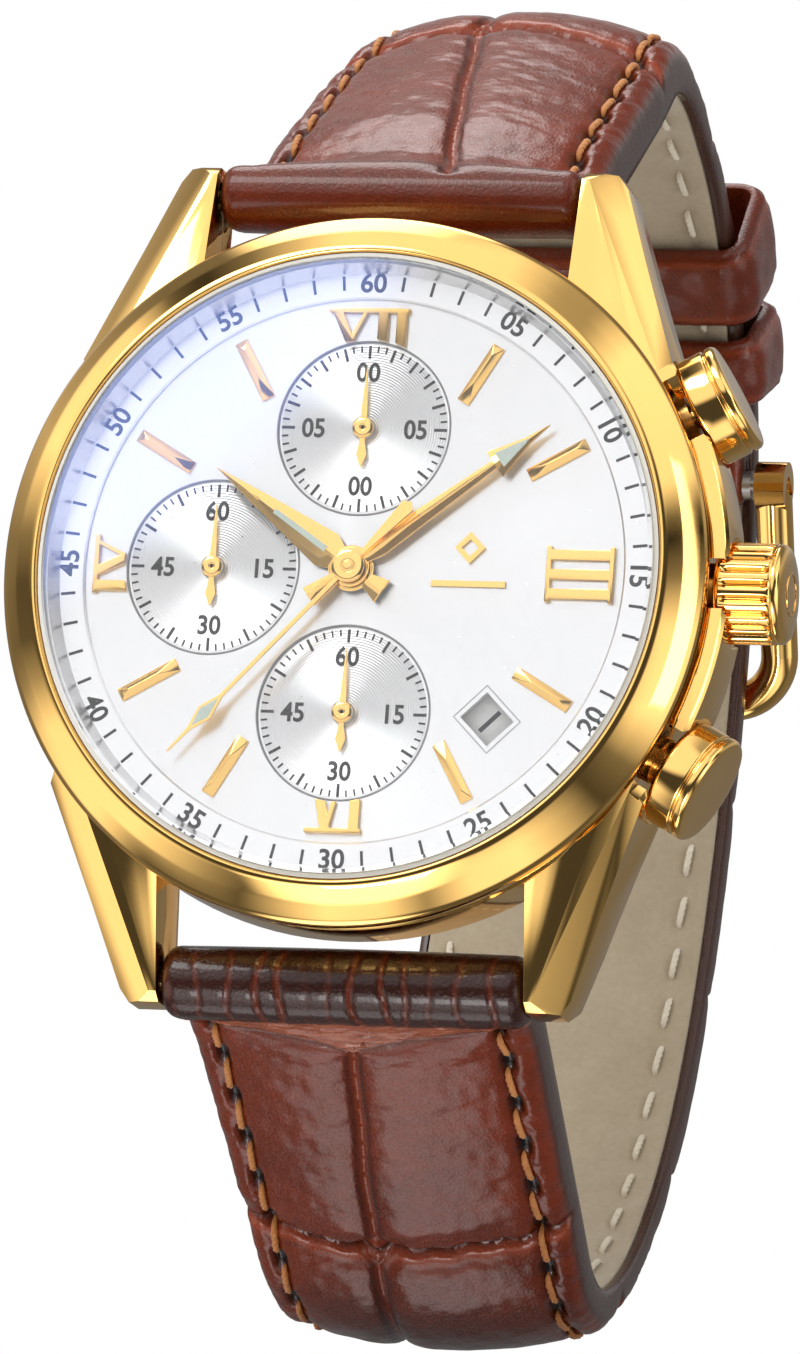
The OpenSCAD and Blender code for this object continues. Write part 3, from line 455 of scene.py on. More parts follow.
def reworked(mesh, *steps):
    """Runs bmesh steps on a mesh in place."""
    work = bmesh.new()
    work.from_mesh(mesh)
    for step in steps:
        step(work)
    work.to_mesh(mesh)
    work.free()
    return mesh


def outward(work):
    bmesh.ops.recalc_face_normals(work, faces=work.faces)


def evaluated(holder):
    """The mesh of a passing object as its modifiers leave it. The object is deleted."""
    scene.collection.objects.link(holder)
    shown = bpy.data.meshes.new_from_object(holder.evaluated_get(bpy.context.evaluated_depsgraph_get()))
    bpy.data.objects.remove(holder)
    return shown


def modified(mesh, kind, **settings):
    """The mesh after one modifier."""
    holder = bpy.data.objects.new("holder", mesh)
    change = holder.modifiers.new("change", kind)
    for key, value in settings.items():
        setattr(change, key, value)
    return evaluated(holder)


def piece(name, form, finish="gold_polished", body="case", where=WATCH, sharp=35, replaces=()):
    """A new piece from (points, faces), in watch millimetres or another frame, that rides on a CAD body."""
    points, faces = form
    mesh = new_mesh(name, [where @ Vector(p) for p in points], faces)
    return dress(name, mesh, finish, body, sharp, replaces)


def dress(name, mesh, finish, body="case", sharp=35, replaces=()):
    reworked(mesh, outward)
    mesh.shade_smooth()
    mesh.set_sharp_from_angle(angle=radians(sharp))
    mesh.materials.clear()
    mesh.materials.append(MATERIALS[finish])
    obj = bpy.data.objects.new(name, mesh)
    scene.collection.objects.link(obj)
    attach(obj, body)
    if replaces:
        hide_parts(*replaces)
    return obj


def side(angle, reach):
    """The frame of a crown or pusher: its z axis points out of the case at that angle above 3 o'clock."""
    return (WATCH @ Matrix.Rotation(radians(angle), 4, "Z") @ Matrix.Translation((reach, 0, STEM_Z))
            @ Matrix.Rotation(radians(90), 4, "Y"))


def rounded(profile, radius, closed=True, steps=3):
    """Rounds the corners of a list of (radius, height) points; the ends of an open one stay sharp."""
    out = []
    count = len(profile)
    for i, corner in enumerate(profile):
        if not closed and i in (0, count - 1):
            out.append(corner)
            continue
        before, after = profile[i - 1], profile[(i + 1) % count]
        here = Vector(corner)
        to_before, to_after = Vector(before) - here, Vector(after) - here
        cut = min(radius, 0.45 * to_before.length, 0.45 * to_after.length)
        a, b = here + to_before.normalized() * cut, here + to_after.normalized() * cut
        for k in range(steps + 1):
            t = k / steps
            out.append(tuple((1 - t) ** 2 * a + 2 * t * (1 - t) * here + t * t * b))
    return out


def turned(profile, turns=160, groove=None):
    """Points and faces of a lathe-turned form. groove(angle, radius, height) is a flute's depth there."""
    closed = min(r for r, _ in profile) > 1e-6
    points, rings = [], []
    for r, h in profile:
        if r < 1e-6:
            rings.append([len(points)] * turns)
            points.append((0, 0, h))
            continue
        rings.append(range(len(points), len(points) + turns))
        for i in range(turns):
            a = 2 * math.pi * i / turns
            reach = r - (groove(a, r, h) if groove else 0)
            points.append((reach * cos(a), reach * sin(a), h))
    faces = []
    for a, b in zip(rings, list(rings[1:]) + (rings[:1] if closed else [])):
        for i in range(turns):
            j = (i + 1) % turns
            corners = tuple(dict.fromkeys((a[i], a[j], b[j], b[i])))
            if len(corners) > 2:
                faces.append(corners)
    return points, faces


def loft(rows, ring=False):
    """Points and faces of a form made of closed loops of one count, with capped ends or joined in a ring."""
    count = len(rows[0])
    points = [p for row in rows for p in row]
    faces = []
    for r in range(len(rows) - (not ring)):
        a, b = r * count, (r + 1) % len(rows) * count
        faces += [(a + i, a + (i + 1) % count, b + (i + 1) % count, b + i) for i in range(count)]
    if not ring:
        faces += [tuple(range(count)), tuple(range(len(points) - count, len(points)))]
    return points, faces


def clockwise(x, y, turn):
    """A point of the dial, turned clockwise about the centre by turn degrees."""
    c, s = cos(radians(turn)), sin(radians(turn))
    return x * c + y * s, y * c - x * s


class Batch:
    """Many small forms gathered into one mesh."""

    def __init__(self):
        self.form = ([], [])

    def add(self, points, faces):
        start = len(self.form[0])
        self.form[0].extend(points)
        self.form[1].extend(tuple(start + i for i in face) for face in faces)

    def prism(self, outline, low, high, shift=(0, 0), turn=0):
        """A flat plate from an outline, turned clockwise by turn degrees and then shifted."""
        turned_points = [clockwise(x, y, turn) for x, y in outline]
        flat = [(x + shift[0], y + shift[1]) for x, y in turned_points]
        self.add(*loft([[(x, y, level) for x, y in flat] for level in (low, high)]))

    def bar(self, r0, r1, width, turn, low, high, shift=(0, 0)):
        """A tick from radius r0 to r1 at that clockwise angle from 12."""
        half = width / 2
        self.prism([(-half, r0), (half, r0), (half, r1), (-half, r1)], low, high, shift, turn)


def lettering(items, high, level, stretch=1.0):
    """Printed numbers. items are (text, x, y, clockwise turn), high is a digit's height."""
    batch = Batch()
    for text, x, y, turn in items:
        curve = bpy.data.curves.new("digits", "FONT")
        curve.body = text
        curve.size = high / 0.72
        curve.align_x, curve.align_y = "CENTER", "CENTER"
        curve.resolution_u = 4
        curve.extrude = PRINT_T / 2
        curve.offset = 0.03 * high
        solid = evaluated(bpy.data.objects.new("digits", curve))
        middle = [(min(v.co[axis] for v in solid.vertices) + max(v.co[axis] for v in solid.vertices)) / 2
                  for axis in (0, 1)]
        points = []
        for v in solid.vertices:
            px, py = clockwise((v.co.x - middle[0]) * stretch, v.co.y - middle[1], turn)
            points.append((px + x, py + y, level + v.co.z))
        batch.add(points, [tuple(f.vertices) for f in solid.polygons])
    return batch.form


# ---------------------------------------------------------------- case, crown and pushers
def bevelled_copy(node, name, width, finish="gold_polished", sharp=35):
    """The CAD node again with softened edges, as polishing leaves them."""
    mesh = reworked(nodes[node].data.copy(),
                    lambda work: bmesh.ops.remove_doubles(work, verts=work.verts, dist=1e-7),
                    lambda work: bmesh.ops.dissolve_limit(work, angle_limit=radians(0.4), verts=work.verts,
                                                          edges=work.edges))
    soft = modified(mesh, "BEVEL", width=width * MM, segments=3, limit_method="ANGLE", angle_limit=radians(25),
                    use_clamp_overlap=True)
    dress(name, soft, finish, sharp=sharp, replaces=(node,))


def make_bezel():
    outline = [(18.52, 7.58), (20.95, 7.58), (21.0, 7.75), (21.0, 8.35), (20.78, 8.66), (19.9, 9.46),
               (18.98, 10.12), (18.66, 10.2), (18.52, 9.98)]
    piece("bezel_ring", turned(rounded(outline, 0.16), 256), replaces=("bezel",))


def make_case_back():
    dome = [(0, 0.0), (9.0, 0.02), (15.6, 0.06), (16.1, 0.2), (16.6, 0.55), (17.1, 0.62), (18.5, 0.64),
            (18.58, 0.72), (18.58, 0.98), (18.1, 1.0), (18.1, 1.4), (17.0, 1.4), (17.0, 1.0), (0, 1.0)]
    cover = turned(rounded(dome, 0.1, closed=False), 192)
    piece("case_back_cover", cover, "gold_satin", replaces=("case_back",))
    slots = Batch()
    for turn in range(0, 360, 60):
        slots.bar(16.85, 17.95, 1.1, turn, 0.615, 0.7)
    piece("case_back_slots", slots.form, "gasket")


def make_crystal():
    """A flat crystal with a barely domed top and a polished edge, which shows the pale gasket behind it."""
    radius, edge_r, edge_z, dome = 18.2, 18.02, 10.46, 0.34
    shares = [1 - i / 14 for i in range(15)]
    top = [(edge_r * share, edge_z + dome * (1 - share ** 2)) for share in shares]
    form = turned([(0, 9.5), (radius, 9.5), (radius, 10.32)] + top, 192)
    body = piece("crystal_glass", form, "crystal", replaces=("crystal",))
    body.data.materials.append(MATERIALS["clear_gasket"])
    for face in body.data.polygons:
        face.material_index = int(abs(face.normal.y) < 0.5)


def make_crown():
    """A deeply fluted crown with a plain collar and a domed cap that carries a thin ring."""
    radius, length, flutes = 2.95, 3.3, 20
    low, high = 0.32, length - 0.02
    where = side(0, 21.05)

    def flute(angle, r, h):
        if not low < h < high or r < 2.7:
            return 0
        return 0.36 * min(1, (h - low) / 0.25, (high - h) / 0.25) * abs(cos(angle * flutes / 2)) ** 5

    collar = [(0, 2.4), (2.0, 2.4), (2.0, 0.0), (2.72, 0.0), (2.8, 0.1), (2.8, 0.3)]
    wall = [(radius, 0.34 + 0.2 * i) for i in range(15)]
    cap = [(radius, -0.03), (2.86, 0.06), (2.92, 0.16), (2.9, 0.34), (2.72, 0.56), (2.35, 0.68), (1.6, 0.74),
           (0, 0.76)]
    knob = collar + wall + [(r, length + h) for r, h in cap]
    piece("crown_knob", turned(knob, 400, flute), body="crown", where=where, sharp=50, replaces=("crown",))
    ring = [(r, length + h) for r, h in ((1.15, 0.70), (1.3, 0.70), (1.3, 0.80), (1.15, 0.80))]
    piece("crown_cap_ring", turned(rounded(ring, 0.03), 96), body="crown", where=where)


def make_pusher(which, angle):
    """A smooth drum on a stem, with a thin cap rim round its pressed face, and its return spring."""
    body, where = "pusher_" + which, side(angle, 21.65)
    drum = [(0, 1.5), (2.35, 1.5), (2.35, 0.0), (3.08, 0.0), (3.3, 0.22), (3.3, 1.72), (3.16, 1.80),
            (3.16, 1.90), (3.3, 1.98), (3.3, 2.34), (3.12, 2.56), (2.5, 2.6), (0, 2.62)]
    stem = [(0, -5.2), (0.7, -5.2), (0.8, -5.1), (0.8, 1.5), (0, 1.5)]
    button = turned(rounded(drum, 0.1, closed=False), 160)
    piece(body + "_button", button, body=body, where=where, sharp=50, replaces=(body,))
    piece(body + "_stem", turned(stem, 48), body=body, where=where)
    # The spring rides the pusher
    spring = "pusher_spring_" + which
    coil = dress(spring + "_coil", nodes[spring].data.copy(), "steel", body, sharp=40, replaces=(spring,))
    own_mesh(coil)


def make_case():
    make_bezel()
    make_case_back()
    make_crystal()
    make_crown()
    make_pusher("upper", 29)
    make_pusher("lower", -29)
    bevelled_copy("mid_case", "case_middle", 0.14)


# ---------------------------------------------------------------- dial
def make_subdial(name, where):
    """A recessed disc cut with fine rings, and its bright rim."""
    pitch, edge, rim_r = 0.15, 4.95, 5.12
    floor, top, under = (SUBDIAL_FLOOR + lift for lift in (0.004, 0.022, 0.001))
    outline = [(0, floor)]
    for i in range(1, int(edge / pitch)):
        outline += [(i * pitch, floor), (i * pitch + 0.6 * pitch, top)]
    outline += [(edge, floor), (rim_r, floor), (rim_r, under), (0, under)]
    piece(name + "_disc", turned(outline, 128), "snailed_silver", where=where, sharp=10)
    rim = [(5.08, 7.80), (5.15, 7.80), (5.21, 7.915), (5.17, 7.94), (5.08, 7.915)]
    piece(name + "_rim", turned(rounded(rim, 0.02), 160), "grey_ink", where=where)


def make_prints():
    """Minute track, sub-dial tracks and all the numbers."""
    track = Batch()
    for minute in range(60):
        if minute % 5:
            track.bar(16.60, 17.46, 0.17, 6 * minute, CHAPTER_TOP + 0.001, CHAPTER_TOP + PRINT_T)
    items = []
    for name, (cx, cy) in SUBDIALS.items():
        every, words = (3, ("00", "05", "00", "05")) if name == "12" else (5, ("60", "15", "30", "45"))
        for i in range(60):
            inner, width = (4.54, 0.11) if i % every else (4.16, 0.17)
            track.bar(inner, 4.93, width, 6 * i, SUBDIAL_FLOOR + 0.02, SUBDIAL_FLOOR + 0.034, (cx, cy))
        for word, (x, y) in zip(words, ((0, 3.35), (3.05, 0), (0, -3.4), (-3.05, 0))):
            items.append((word, cx + x, cy + y, 0))
    piece("dial_tracks", track.form, "dial_ink")
    piece("subdial_numbers", lettering(items, 1.12, SUBDIAL_FLOOR + 0.03, 0.92), "dial_ink")
    items = []
    for value in range(5, 61, 5):
        # Between 20 and 40 the numbers stand with their feet out
        turn = 6 * value + (180 if 20 <= value <= 40 else 0)
        items.append((f"{value:02d}", *clockwise(0, 17.02, 6 * value), turn))
    piece("minute_numbers", lettering(items, 1.15, CHAPTER_TOP + 0.008), "dial_ink")


def make_date():
    """Numbers on the date ring, and the bevelled frame of its window."""
    reach, shown_at = 12.1, 135
    items = []
    for day in range(1, 32):
        turn = shown_at + (day - 1) * 360 / 31
        items.append((str(day), *clockwise(0, reach, turn), turn - 90))
    piece("date_numbers", lettering(items, 1.6, 7.21, 0.85), "dial_ink", "date_ring")
    half_x, half_y, lip = 1.05, 1.2, 0.26
    rim = lip + 0.05
    rows = []
    for grow, level in ((0, 7.52), (0, 7.70), (lip, 7.915), (rim, 7.915), (rim, 7.88), (lip, 7.52)):
        x, y = half_x + grow, half_y + grow
        rows.append([(-x, reach - y, level), (x, reach - y, level),
                     (x, reach + y, level), (-x, reach + y, level)])
    where = WATCH @ Matrix.Rotation(radians(-shown_at), 4, "Z")
    piece("date_window_frame", loft(rows, ring=True), "window_grey", where=where, sharp=20)


def ridged_hand(body, level, turn, halves, hub_r):
    """A hand with a ridge along its middle. halves are (distance from the hub, half the width)."""
    rows = []
    for reach, half in halves:
        shoulder, ridge = 0.048, max(0.19, 0.08 + 0.195 * min(1, half / 0.3))
        section = ((-half, 0), (half, 0), (half, shoulder), (0, ridge), (-half, shoulder))
        rows.append([(*clockwise(x, reach, turn), level + z) for x, z in section])
    piece(body + "_blade", loft(rows), "gold_applied", body, sharp=8)
    hub = rounded([(0.64, 0), (hub_r, 0), (hub_r, 0.12), (hub_r - 0.1, 0.2), (0.64, 0.2)], 0.03)
    piece(body + "_blade_hub", turned([(r, level + z) for r, z in hub], 64), "gold_applied", body)


def make_hands():
    """The hour and minute hands with their ridges, three pale fillings, and the cap over the hubs."""
    hour_turn = 30 * (HOUR_SHOWN + MINUTE_SHOWN / 60)
    minute_turn, chrono_turn = 6 * MINUTE_SHOWN, 6 * CHRONO_SHOWN
    ridged_hand("hour_hand", HOUR_HAND_Z, hour_turn,
                [(10.25, 0.02), (7, 0.48), (1.9, 1.12), (0.7, 0.62), (-0.9, 0.38), (-2.35, 0.78)], 1.35)
    ridged_hand("minute_hand", MINUTE_HAND_Z, minute_turn,
                [(14.2, 0.02), (12.6, 0.24), (10.3, 0.90), (10.25, 0.27), (2.2, 0.6), (0.8, 0.36),
                 (-0.9, 0.32), (-2.95, 0.66)], 1.15)
    fillings = (
        ("hour_hand", HOUR_HAND_Z + 0.262, hour_turn, [(-0.19, 1.9), (0.19, 1.9), (0.15, 5.8), (-0.15, 5.8)]),
        ("minute_hand", MINUTE_HAND_Z + 0.262, minute_turn,
         [(-0.50, 10.66), (0.50, 10.66), (0.12, 12.4), (0, 12.8), (-0.12, 12.4)]),
        ("chrono_seconds", SECONDS_HAND_Z + 0.155, chrono_turn,
         [(0, 10.75), (0.36, 11.9), (0, 12.95), (-0.36, 11.9)]),
    )
    for body, level, turn, outline in fillings:
        filling = Batch()
        filling.prism(outline, level, level + 0.025, turn=turn)
        piece(body + "_lume", filling.form, "lume", body)
    cap = [(0, 9.19), (0.98, 9.19), (0.98, 9.27), (0.8, 9.33), (0.42, 9.34), (0.38, 9.30), (0.3, 9.30),
           (0.26, 9.37), (0, 9.38)]
    piece("centre_cap", turned(rounded(cap, 0.04, closed=False), 96), body="chrono_seconds")


def make_dial():
    boss = [(0, 8.16), (0.62, 8.16), (0.62, 8.21), (0.46, 8.27), (0.2, 8.28), (0.15, 8.24), (0, 8.24)]
    for name, centre in SUBDIALS.items():
        where = WATCH @ Matrix.Translation((*centre, 0))
        make_subdial("subdial_" + name, where)
        piece(f"register_{name}_boss", turned(rounded(boss, 0.03, closed=False), 64), body="register_" + name,
              where=where)
    make_prints()
    make_date()
    make_hands()
    bevelled_copy("hour_markers", "applied_markers", 0.04, "gold_applied", 25)
    bevelled_copy("roman_numerals", "applied_numerals", 0.05, "gold_applied", 25)


# ---------------------------------------------------------------- strap
def step_on(p, length, turn):
    """The point (y, z, heading) that an arc or a straight of that length reaches."""
    bend = radians(turn)
    chord = 2 * length / bend * sin(bend / 2) if turn else length
    heading = radians(p[2] + turn / 2)
    return (p[0] + chord * cos(heading), p[1] + chord * sin(heading), p[2] + turn)


def walk(path, steps):
    """The path carried on by straights and arcs of (length, turn)."""
    path = list(path)
    for length, turn in steps:
        count = math.ceil(length / PACE)
        for _ in range(count):
            path.append(step_on(path[-1], length / count, turn / count))
    return path


def curve_to(a, b, pull, count):
    """A smooth stretch from a to b that keeps both headings."""
    start, end = np.array(a[:2]), np.array(b[:2])
    lean = [np.array((cos(radians(p[2])), sin(radians(p[2])))) for p in (a, b)]
    p1, p2 = start + pull * lean[0], end - pull * lean[1]
    out = []
    for i in range(1, count + 1):
        t = i / count
        u = 1 - t
        p = u ** 3 * start + 3 * u * u * t * p1 + 3 * u * t * t * p2 + t ** 3 * end
        d = u * u * (p1 - start) + 2 * u * t * (p2 - p1) + t * t * (end - p2)
        out.append((p[0], p[1], math.degrees(math.atan2(d[1], d[0]))))
    return out


# Both paths end in arcs about the wrap's centre, WRAP_C
SHORT_PATH = walk([(-BAR_DEPTH, BAR_HEIGHT, 4)], SHORT_STEPS)
last_y, last_z, last_turn = SHORT_PATH[-1]
WRAP_C = (last_y + WRAP_R * sin(radians(last_turn)), last_z - WRAP_R * cos(radians(last_turn)))
SHORT_PATH = walk(SHORT_PATH, [(WRAP_R * radians(PIVOT_AT + last_turn), -PIVOT_AT - last_turn)])
LONG_R = WRAP_R + SHORT_T / 2 + WRAP_GAP + LONG_T / 2
LONG_PATH = walk([(-BAR_DEPTH, -BAR_HEIGHT, -4)], LONG_STEPS)
LONG_PATH += curve_to(LONG_PATH[-1], (WRAP_C[0] + LONG_R, WRAP_C[1], 90), 20, 200)
LONG_PATH = walk(LONG_PATH, [(LONG_R * radians(90 - TAIL_AT), 90 - TAIL_AT)])

# The sewing: how far its row lies in from the edge on the face and on the lining, and its pitch
SEAM_IN, LINING_SEAM_IN, STITCH_PITCH = 1.75, 2.1, 3.6
# The edge's rounding, by distances in from it
EDGE_STEPS = [0.0, 0.03, 0.10, 0.22, 0.38, 0.58, 0.85]
EDGE_ROUND = EDGE_STEPS[-1]


def dip(distance, width):
    """1 on a line and 0 away from it."""
    return np.exp(-(distance / width) ** 2)


def ease(value, low, high):
    t = np.clip((value - low) / (high - low), 0, 1)
    return t * t * (3 - 2 * t)


def ripple(a, b, wave, seed, count=9):
    """Smooth, repeatable unevenness between about -1 and 1."""
    draw = random.Random(seed)
    total = 0
    for _ in range(count):
        way = draw.uniform(0, math.pi)
        size = wave * draw.uniform(0.7, 1.5)
        shift = draw.uniform(0, 2 * math.pi)
        total = total + np.sin(2 * math.pi / size * (a * cos(way) + b * sin(way)) + shift)
    return total / math.sqrt(count)


class Strap:
    """One half of the strap. A place on it is (q, u): along the leather's face and across it, in mm.

    q runs on round the bar in the lug below 0, and round the buckle's bar past the end where there is one.
    outer is 1 if the face is left of the path, and -1 if it is right. knots are (q, half the thickness),
    widths are (y, half the width), creases are (q, bulge) of the cross creases, and centre is (q, u) of the
    crease along the middle. swell and crown shape the padding. roll is 1 where wrinkled leather is rolled
    round the bar, and tail marks the half that has the holes.
    """

    def __init__(self, name, path, **shape):
        self.name, self.path = name, np.array(path)
        vars(self).update(shape)
        steps = np.hypot(*np.diff(self.path[:, :2], axis=0).T)
        self.along = np.concatenate([[0], np.cumsum(steps)])
        self.length = self.along[-1]
        self.head_wrap, self.tail_wrap = (math.pi * self.at(s, self.knots) for s in (0.0, self.length))
        first = 4.6 if self.roll else 5.2
        last = self.length - (7 if self.tail else 9)
        self.stitches = [first + STITCH_PITCH * i for i in range(int((last - first) / STITCH_PITCH) + 1)]

    @staticmethod
    def at(place, stops):
        return np.interp(place, *zip(*stops))

    def frame_at(self, q):
        """Centre, outward direction and half thickness for each q."""
        q = np.asarray(q, float)
        head, tail, end = self.head_wrap, self.tail_wrap, self.length
        wrapped = np.where(q < 0, np.maximum(q, -head) / (head / math.pi), 0)
        wrapped = wrapped + np.where(q > end, np.minimum(q - end, tail) / (tail / math.pi), 0)
        under = np.where(q < -head, -q - head, 0)
        past = np.where(q > end + tail, q - end - tail, 0)
        s = np.where(under > 0, under, np.where(past > 0, end - past, np.clip(q, 0, end)))
        y, z, heading = (np.interp(s, self.along, self.path[:, column]) for column in range(3))
        normal = np.radians(heading) + self.outer * (math.pi / 2 - wrapped)
        return y, z, np.cos(normal), np.sin(normal), self.at(s, self.knots)

    def half_width(self, q):
        wide = self.at(self.frame_at(np.clip(q, 0, self.length))[0], self.widths)
        if self.tail:
            tip = np.clip((q - self.length + 4.2) / 4.2, 0, 1)
            wide = wide - 2.6 * (1 - np.sqrt(1 - tip ** 2))
        return wide

    def crease_gaps(self, q, u, half):
        """Signed distance from each cross crease."""
        gaps = []
        for i, (start, bulge) in enumerate(self.creases):
            bend = bulge * (1 - (u / half) ** 2)
            point = 0.5 * dip(u - self.at(q, self.centre), 1.2)
            gaps.append(q - start - bend - point - 0.12 * np.sin(1.1 * u + 2 * i) - 0.10 * np.sin(2.9 * u + i))
        return gaps

    def wrinkles(self, q, u):
        """Creases along the roll round the bar."""
        draw = random.Random(self.name)
        spot, depth = -10.2, np.zeros_like(q + u)
        while spot < 10.5:
            wander = spot + 0.16 * np.sin(1.1 * q + spot) + 0.05 * q * draw.uniform(-1, 1)
            deep = draw.uniform(0.35, 1.0) ** 2
            depth = np.maximum(depth, deep * dip(u - wander, draw.uniform(0.10, 0.14)))
            spot = spot + draw.uniform(0.9, 2.3)
        return depth * ease(q, -5.8, -4.6) * (1 - ease(q, 0.2, 1.4))

    def relief(self, q, u, half):
        """Height of the face over the flat strip, and how much of each of the leather's marks it shows."""
        face = np.abs(u) / half
        thin = (1 - ease(q, 40, 60)) * (1 - ease(q, self.length - 20, self.length - 12))
        padded = (ease(q, 0.6, 5.5) if self.roll else ease(q, -2.6, 3.5)) * thin
        puff = self.swell * (padded if self.roll else ease(q, -2.0, 11.0) * thin)
        height = puff - (0.10 + self.crown * padded) * face ** 2.1
        creased = dark = split = near = np.zeros_like(q + u)
        # Cross creases, with a raised lip, a short spur along the middle, and painted shade in the cut and in
        # faint lines past the lip
        line = self.at(q, self.centre) + 0.05 * np.sin(0.7 * q)
        for gap in self.crease_gaps(q, u, half):
            height = height - 0.36 * dip(gap, 0.27) - 0.36 * dip(gap, 1.3) + 0.10 * dip(gap - 0.62, 0.26)
            height = height + 0.04 * dip(gap - 0.95, 0.12) + 0.08 * dip(gap + 0.75, 0.35) * dip(u - line, 0.4)
            creased = np.maximum(creased, 0.9 * dip(gap - 0.6, 0.5))
            creased = np.maximum(creased, dip(gap + 0.7, 0.4) * dip(u - line, 0.35))
            dark = np.maximum(dark, 0.8 * dip(gap + 0.05, 0.19))
            dark = np.maximum(dark, 0.35 * dip(gap - 1.15, 0.16) * dip(np.sin(0.6 * u + gap), 0.6))
            split = np.maximum(split, np.clip(1.3 - np.abs(gap), 0, None) * 0.7)
            near = np.maximum(near, dip(gap + 2.2, 1.6))
        # The crease along the middle, which forks where it meets a cross crease, with painted shade along its
        # sides
        off = np.minimum(np.abs(u - line - split), np.abs(u - line + split))
        first = self.centre[0][0]
        there = ease(q, first, first + 0.8) * (1 - ease(q, self.length - 14, self.length - 12))
        height = height - there * (0.34 * dip(off, 0.3) + 0.24 * dip(off, 1.1))
        creased = np.maximum(creased, 0.85 * there * dip(off, 0.26))
        dark = np.maximum(dark, 0.6 * there * dip(off - 0.42, 0.17) * (split < 0.1))
        # The seam's groove, the puckered margin outside it, and the uneven skin
        row = half - SEAM_IN
        height = height - 0.24 * dip(np.abs(u) - row, 0.42) * padded
        margin = ease(np.abs(u), row + 0.2, row + 0.6) * padded
        height = height + margin * (0.05 * ripple(q, 0.25 * u, 1.9, 5) + 0.03 * ripple(q, u, 0.9, 6))
        calm = 1 - ease(-q, -1.0, 0.6)
        height = height + calm * (0.022 * ripple(q, u, 2.6, 11) + 0.010 * ripple(q, u, 0.9, 12))
        small = np.clip(ripple(q, 0.3 * u, 3.4, 21), 0, 1)
        height = height - near * 0.045 * small * dip(np.sin(2.6 * u + 0.6 * q), 0.35)
        # The roll round the bar, its wrinkles with a painted highlight along them, and the fold where the
        # padding begins
        rolled = 1 - ease(q, 0.7, 1.7 - 0.9 * (1 - face))
        wrinkled = self.roll * self.wrinkles(q, u)
        height = height - 0.2 * wrinkled
        # The lighter crease tint along the wrinkles is a painted highlight
        creased = np.maximum(creased, 0.7 * wrinkled)
        height = height - self.roll * 0.34 * ease(q, 0.5, 1.6) * (1 - ease(q, 2.4, 5.0)) * (1 - 0.3 * face)
        valley = 4.7 - 2.4 * np.sqrt(np.abs(u + 0.2) / 10 + 0.002)
        fold = self.roll * ease(q, 0.8, 1.5) * (1 - ease(q - valley, -0.25, 0.1))
        crinkle = ripple(q * 2.6, 0.5 * u, 1.1, 32)
        height = height + fold * 0.05 * crinkle - self.roll * 0.12 * dip(q - valley, 0.22)
        # Painted shade in the fold's valley
        dark = np.maximum(dark, self.roll * 0.45 * dip(q - valley, 0.2))
        corner = np.clip(EDGE_ROUND - half + np.abs(u), 0, EDGE_ROUND)
        height = height - (EDGE_ROUND - np.sqrt(np.clip(EDGE_ROUND ** 2 - corner ** 2, 0, None)))
        return height, {"crease": creased, "roll": np.clip(rolled * (0.35 + 0.6 * self.roll), 0, 1),
                        "fold": np.clip(fold * (0.55 + 0.3 * crinkle), 0, 1), "hole": dark}

    def holes(self, q, u, row):
        """1 in the hole at each end of a stitch, in the rows that far from the middle."""
        first, last = self.stitches[0], self.stitches[-1]
        nearest = first + STITCH_PITCH * (np.round((q - first) / STITCH_PITCH + 0.5) - 0.5)
        inside = (nearest > first - STITCH_PITCH) & (nearest < last + STITCH_PITCH)
        return np.exp(-((q - nearest) / 0.85) ** 4 - ((np.abs(u) - row) / 0.46) ** 4) * inside


def section(frame, loop):
    """Points, in metres, of a cross-section given as (across, off the middle of the thickness)."""
    y, z, dy, dz = frame[:4]
    return [(a * MM, (y + dy * b) * MM, (z + dz * b) * MM) for a, b in loop]


def mark(mesh, marks):
    """Stores the leather's marks for its material."""
    for name, values in marks.items():
        mesh.attributes.new(name, "FLOAT", "POINT").data.foreach_set("value", np.array(values, np.float32))


def round_bar(radius, gap):
    """Half the height of a bar at that distance from its middle."""
    return math.sqrt(max(radius ** 2 - gap ** 2, 0.05 ** 2))


def leather_floor(strap, q, half_t):
    """How far off the middle the leather's underside lies: in the middle of its width, and at its edges."""
    if 2.5 < q < strap.length - (0 if strap.tail else 2.7):
        return LINING_T + 0.02 - half_t, 0.10 - half_t
    if not strap.tail and q >= strap.length - 2.7:
        gap = max(strap.length - q, q - strap.length - strap.tail_wrap, 0)
        return (round_bar(PIVOT_R, gap),) * 2
    return (round_bar(BAR_R, max(q, -q - strap.head_wrap, 0)),) * 2


